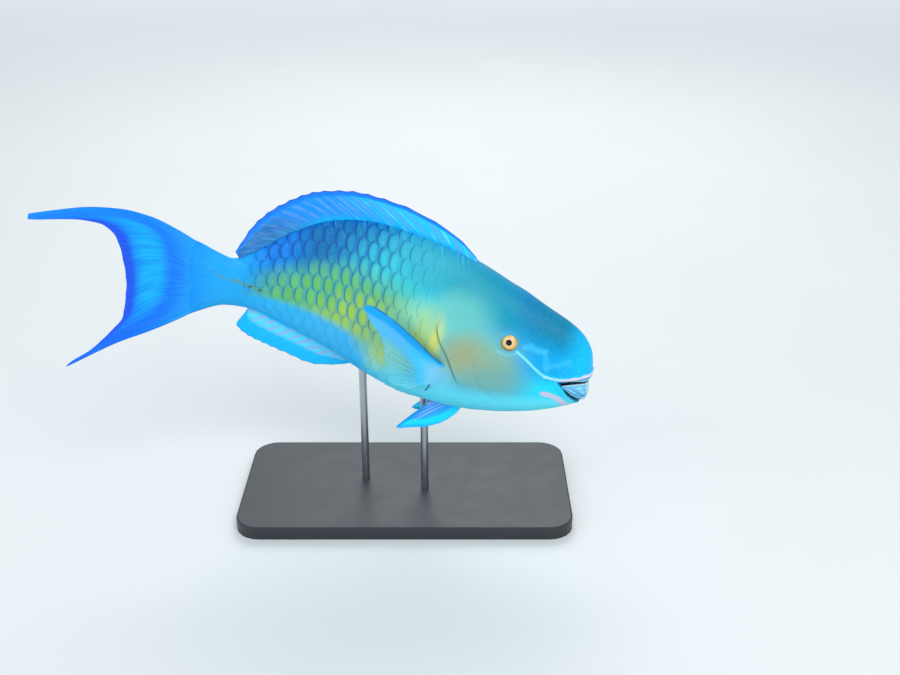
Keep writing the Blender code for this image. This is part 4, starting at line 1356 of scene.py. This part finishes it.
pelvic_finish = fin_material("cyan_hip_fin", pelvic_paint)
pectoral_point = paired_fin(PECTORAL_BASE, PECTORAL_EDGE, pectoral_side)
pelvic_point = paired_fin(PELVIC_FEET, PELVIC_EDGE, pelvic_side)
for side_name, sign in (("right", -1), ("left", 1)):
    make_fin(f"pectoral_fin_{side_name}_rayed", [f"pectoral_fin_{side_name}"], pectoral_point, same_ray,
             PECTORAL_RAYS, pectoral_finish, sign, scallop=0.02, thick=0.38)
    make_fin(f"pelvic_fin_{side_name}_rayed", [f"pelvic_fin_{side_name}"], pelvic_point, same_ray,
             PELVIC_RAYS, pelvic_finish, sign, scallop=0.03)

# %% [markdown]
# ## Eyes
# The eye is a ball that looks out of a low socket. Its iris is a flat ring, pale inside and orange
# outside, round a black pupil, and the whole is covered by a wet, clear front. We turn a profile
# round the eye's own axis, so pupil, iris and rim are steps of the shape, not just paint.

# %% Eyeballs
EYE_RINGS, EYE_ROUND = 48, 56
EYE_BACK = pi * 0.80
PUPIL_SHARE = 0.40
SLOPE_STEP = 0.002
LOOK_AHEAD, LOOK_UP = 0.14, 0.12


def eye_material():
    """Rings of colour from the pupil to the rim under a clear, wet coat."""
    tree, paint, out = node_group("eye_colours", Base_Color="Color", Roughness="Float")
    share, turn, _ = paint.place("eye_share")
    streaks = paint.noise(9.0, 3.0, paint.join(turn * 2.2, share))
    tone = paint.cover(
        "#F4CFA8",
        (paint.mask(share, 0.58, 0.80), "#EFB44C"),
        (paint.mask(share, 0.86, 0.97), "#C87F22"),
        (paint.mask(streaks, 0.42, 0.7) * 0.5, "#FFDE62"),
        (paint.mask(share, 1.02, 1.14), "#2E6E84"),
        (paint.mask(share, PUPIL_SHARE + 0.03, PUPIL_SHARE - 0.01), "#04060C"))
    paint.feed(out["Base Color"], tone)
    paint.feed(out["Roughness"], share * 0.1 + 0.16)
    return group_material("wet_eye", tree, Coat_Weight=0.35, Coat_Roughness=0.03, Specular_IOR_Level=0.3)


def make_eye(name, node, sign, finish):
    """A ball sunk in the flank that looks out, a little ahead and up."""
    sunk = (EYE_BALL ** 2 - EYE_SHOWING ** 2) ** 0.5
    centre = np.array([EYE_ALONG, flank(EYE_ALONG, EYE_UP) - sunk, EYE_UP])
    slope_along, slope_up = ((flank(EYE_ALONG + da, EYE_UP + du) - flank(EYE_ALONG - da, EYE_UP - du))
                             / (2 * SLOPE_STEP) for da, du in ((SLOPE_STEP, 0), (0, SLOPE_STEP)))
    look = unit(np.array([-slope_along + LOOK_AHEAD, 1.0, -slope_up * 0.4 + LOOK_UP]))
    across = unit(np.cross(look, [0, 0, 1.0]))
    above = np.cross(across, look)
    polar, turn = np.meshgrid(np.linspace(0.0, EYE_BACK, EYE_RINGS)[1:],
                              np.arange(EYE_ROUND) * 2 * pi / EYE_ROUND, indexing="ij")
    share = np.sin(np.minimum(polar, pi / 2)) * EYE_BALL / EYE_SHOWING + np.maximum(polar - pi / 2, 0)
    in_pupil = soft_step(-share, -PUPIL_SHARE - 0.05, -PUPIL_SHARE + 0.05)
    radius = EYE_BALL * (1 - 0.030 * in_pupil + 0.012 * ridge(share - 0.90, 0.10)
                         - 0.006 * ridge(share - 0.60, 0.12))
    ways = (np.cos(polar), np.sin(polar) * np.cos(turn), np.sin(polar) * np.sin(turn))
    ball = sum(axis * (radius * way)[..., None] for axis, way in zip((look, across, above), ways))
    spot = (ball + centre) * np.array([1, sign, 1])
    mesh = new_mesh(name, place_all(spot), grid_faces(*share.shape), straight=spot,
                    eye_share=np.stack([share, turn, 0 * share], -1))
    close_shell(mesh, EYE_ROUND, cut_ends=False)
    mesh.shade_smooth()
    mesh.materials.append(finish)
    eye = show(name, mesh)
    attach(eye, "root")
    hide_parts(node)


eye_finish = eye_material()
make_eye("eye_ball_right", "eye_right", -1, eye_finish)
make_eye("eye_ball_left", "eye_left", 1, eye_finish)
print("eyes made")

# %% [markdown]
# ## The beak
# A parrotfish's teeth grow together into an upper and a lower plate, each split by a fine line in
# the middle, with the single teeth still visible as a mosaic. The lower plate stands out in the open
# mouth. Each plate is a curved shell that follows the jaw in a U from corner to corner.

# %% Dental plates
UPPER_PLATE_TOP = ((-0.002, -0.0150), (0.0030, -0.0155), (0.0105, -0.0180), (0.0150, -0.0195))
UPPER_PLATE_EDGE = ((-0.002, -0.0203), (0.0030, -0.0206), (0.0095, -0.0206), (0.0150, -0.0204))
LOWER_PLATE_EDGE = ((-0.002, -0.0226), (0.0050, -0.0232), (0.0110, -0.0240), (0.0170, -0.0254),
                    (0.0205, -0.0272))
LOWER_PLATE_BOTTOM = ((-0.002, -0.0385), (0.0030, -0.0392), (0.0060, -0.0383), (0.0100, -0.0352),
                      (0.0139, -0.0316), (0.0205, -0.0276))
PLATE_ROUND, PLATE_RISE, BEAK_INSET, BEAK_THICK = 120, 26, 0.0012, 0.0022
TEETH_ROUND, TOOTH_LENGTH, BEAK_BULGE = 24, 0.00025, 0.0016
BEAK_START, BEAK_BACK = 0.006, 0.0006


def beak_material():
    """Fused teeth: pale cells with fine seams, one dark line in the middle, and pale and dark streaks of
    painted reflection.
    """
    tree, paint, out = node_group("beak_colours", Base_Color="Color", Height="Float", Roughness="Float")
    turn, rise, _ = paint.place("beak_share")
    cells = paint.node("TexVoronoi", {"feature": "DISTANCE_TO_EDGE", "voronoi_dimensions": "2D"}, "Distance",
                       Vector=paint.join(turn * 22.0, rise * 7.0), Scale=1.0, Randomness=0.55)
    seam = paint.mask(cells, 0.10, 0.0)
    gloss_streaks = paint.streaks(turn, 3.0, rise, 5.0)
    off_middle = paint.math("ABSOLUTE", turn)
    middle = paint.mask(off_middle, 0.012, 0.004)
    tone = paint.cover(
        "#1C94D4",
        (paint.mask(rise, 0.0, 0.9), "#64CCF4"),
        # Painted reflection: pale highlight streaks and darker streaks across the glossy plates.
        (paint.mask(gloss_streaks, 0.50, 0.66), "#A8E8FC"),
        (paint.mask(gloss_streaks, 0.44, 0.34) * 0.5, "#1474B4"),
        (paint.mask(off_middle, 0.30, 0.10), "#B8ECFA"),
        (paint.mask(rise, 0.90, 0.99), "#DDF4F8"),
        (seam * 0.25, "#3F8EB4"),
        (middle * 0.7, "#2C5C70"))
    paint.feed(out["Base Color"], tone)
    paint.feed(out["Height"], 1.0 - paint.math("MAXIMUM", seam * 0.6, middle))
    paint.feed(out["Roughness"], seam * 0.2 + 0.22)
    return group_material("pale_beak", tree, bump=(0.4, 0.0003), Coat_Weight=0.4, Coat_Roughness=0.08)


def dental_plate(name, node, length, root_line, edge_line, finish):
    """A U-shaped shell from corner to corner; rise runs from the gum to the biting edge."""
    root_line, edge_line = smooth_curve(root_line), smooth_curve(edge_line)
    turn, rise = np.meshgrid(np.linspace(-1, 1, PLATE_ROUND), np.linspace(0, 1, PLATE_RISE), indexing="ij")
    ahead = np.cos(turn * pi / 2)
    along = length * (1 - np.abs(ahead) ** 0.85)
    bite_way = np.sign(edge_line(0.0) - root_line(0.0))
    tooth = TOOTH_LENGTH * np.abs(np.sin(turn * TEETH_ROUND * pi)) * rise ** 8
    up = root_line(along) + (edge_line(along) - root_line(along)) * rise - tooth * bite_way
    width = flank(np.maximum(along, BEAK_START), up) - BEAK_INSET
    side = np.sign(turn) * width * np.abs(np.sin(turn * pi / 2)) ** 0.80
    front = along - BEAK_BULGE * np.sin(pi * rise ** 0.8) * ahead + BEAK_BACK
    inner_share = 1 - BEAK_THICK * (1.1 - 0.7 * rise) / np.maximum(width, BEAK_START)
    inner_along = front + BEAK_THICK * (1.2 - 0.7 * rise) * ahead + BEAK_BACK
    outer = place(front, side, up)
    inner = place(inner_along, side * inner_share, up - 0.0002 * rise * bite_way)
    straight = [np.stack([reach, side, up], -1) for reach in (front, inner_along)]
    share = np.stack([turn, rise, 0 * turn], -1)

    def out_and_back(outside, inside):
        return np.concatenate([outside, inside[:, ::-1]], 1)

    mesh = new_mesh(name, out_and_back(outer, inner), grid_faces(PLATE_ROUND, 2 * PLATE_RISE),
                    straight=out_and_back(*straight), beak_share=out_and_back(share, share))
    close_shell(mesh, 2 * PLATE_RISE)
    mesh.shade_smooth()
    mesh.materials.append(finish)
    plate = show(name, mesh)
    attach(plate, "root")
    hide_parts(node)


beak_finish = beak_material()
dental_plate("upper_plate", "beak_upper", 0.0140, UPPER_PLATE_TOP, UPPER_PLATE_EDGE, beak_finish)
dental_plate("lower_plate", "beak_lower", 0.0195, LOWER_PLATE_BOTTOM, LOWER_PLATE_EDGE, beak_finish)
print("beak made")

# %% [markdown]
# ## The stand
# The fish is a museum model, so it needs a foot: a flat dark base and two plain rods into the belly.
# These stay as the measured solids and only get their finishes.

# %% Stand finishes
def stand_finish(name, dark, light, roughness, scale, metallic):
    """A plain finish with a faint grain."""
    made, paint, shader = finish_material(name, Metallic=metallic)
    grain = paint.noise(scale, 4.0)
    paint.feed(shader["Base Color"], paint.mix(grain, dark, light))
    paint.feed(shader["Roughness"], grain * 0.15 + roughness)
    return made


base_finish = stand_finish("dark_satin_base", "#25282C", "#303438", 0.38, 60.0, 0.0)
rod_finish = stand_finish("brushed_steel", "#A8ACB0", "#C4C8CC", 0.25, 400.0, 1.0)
for node, slot, finish in (("stand_base", "stand_base", base_finish),
                           ("stand_rod_front", "stand_rod", rod_finish),
                           ("stand_rod_rear", "stand_rod", rod_finish)):
    solid = bpy.data.objects[node]
    solid.data.materials.clear()
    solid.data.materials.append(finish)
print("stand finished")

# %% [markdown]
# ## Floor, light and camera
# The model stands on a plain pale floor in soft light. The camera looks down on the fish's right
# flank from about 25 degrees, so the back of the fish shows as well as its side.

# %% Floor and lights
FLOOR_REACH = 20.0
FLOOR_FADES = (1.5, 6.0)
LOOK_AT = (0, 0, 0.18)
LIGHTS = (              # place, aim, size, power and tint
    ("key", (0.5, -1.3, 1.7), LOOK_AT, 1.1, 21, (0.94, 0.98, 1.0)),
    ("fill", (-1.5, -1.1, 0.9), LOOK_AT, 1.4, 8, (0.93, 0.97, 1.0)),
    ("rim", (0.1, 1.5, 1.4), LOOK_AT, 1.0, 9, (1.0, 1.0, 1.0)),
    ("far_floor", (0.0, 4.5, 3.2), (0.0, 4.5, 0.0), 5.0, 90, (0.97, 0.99, 1.0)))
SKY_TINT, SKY_STRENGTH = (0.74, 0.88, 1.0, 1), 0.62


def lay_floor():
    """A wide pale floor that fades to white far away."""
    corners = [(x * FLOOR_REACH, y * FLOOR_REACH, 0) for x, y in ((-1, -1), (1, -1), (1, 1), (-1, 1))]
    floor = show("floor", new_mesh("floor", corners, [(0, 1, 2, 3)]))
    made, paint, shader = finish_material("pale_floor", Roughness=0.7)
    grain = paint.mix(paint.noise(3.0, 4.0), "#E2E0DC", "#E8E6E2")
    away = paint.node("VectorMath", {"operation": "LENGTH"}, "Value", i0=paint.object_place())
    paint.feed(shader["Base Color"], paint.mix(paint.mask(away, *FLOOR_FADES), grain, "#FFFFFF"))
    floor.data.materials.append(made)


def hang_lights():
    """Soft lights and a pale sky."""
    for name, spot, aim, size, power, tint in LIGHTS:
        lamp = bpy.data.lights.new(name, "AREA")
        lamp.energy, lamp.size, lamp.color = power, size, tint
        hung = show(name, lamp)
        hung.location = spot
        hung.rotation_euler = (Vector(aim) - Vector(spot)).to_track_quat("-Z", "Y").to_euler()
    world = bpy.data.worlds.new("studio")
    bpy.context.scene.world = world
    world.use_nodes = True
    sky = world.node_tree.nodes["Background"].inputs
    sky["Color"].default_value, sky["Strength"].default_value = SKY_TINT, SKY_STRENGTH
    bpy.context.scene.view_settings.view_transform = "Standard"


lay_floor()
hang_lights()
print("lights:", len(LIGHTS))

# %% Camera
IMAGE_SIZE = (900, 675)
CAMERA_DISTANCE = 1.0
CAMERA_RISE = radians(25)
PICTURE_FOCUS = 1150                  # focal length in pixels of the image
AIM_ALONG, AIM_PIXEL = 0.176, (398, 306)
SENSOR = 36.0


def make_camera():
    """Looks down with no roll, from where one point of the fish lands on its own pixel."""
    right = Vector((1, 0, 0))
    ahead = Vector((0, cos(CAMERA_RISE), -sin(CAMERA_RISE)))
    above = right.cross(ahead)
    scale = CAMERA_DISTANCE / PICTURE_FOCUS
    pixels_right, pixels_up = AIM_PIXEL[0] - IMAGE_SIZE[0] / 2, IMAGE_SIZE[1] / 2 - AIM_PIXEL[1]
    spot = Vector(place(AIM_ALONG, 0, 0.0)) - ahead * CAMERA_DISTANCE
    spot -= right * (pixels_right * scale) + above * (pixels_up * scale)
    lens = bpy.data.cameras.new("camera")
    lens.sensor_width, lens.lens, lens.clip_start = SENSOR, SENSOR * PICTURE_FOCUS / IMAGE_SIZE[0], 0.01
    camera = show("camera", lens)
    turn = Matrix((right, above, -ahead)).transposed().to_4x4()
    turn.translation = spot
    camera.matrix_world = turn
    bpy.context.scene.camera = camera
    return camera


camera = make_camera()
print("camera at", [round(v, 3) for v in camera.matrix_world.translation])

# %% Update the scene
bpy.context.view_layer.update()
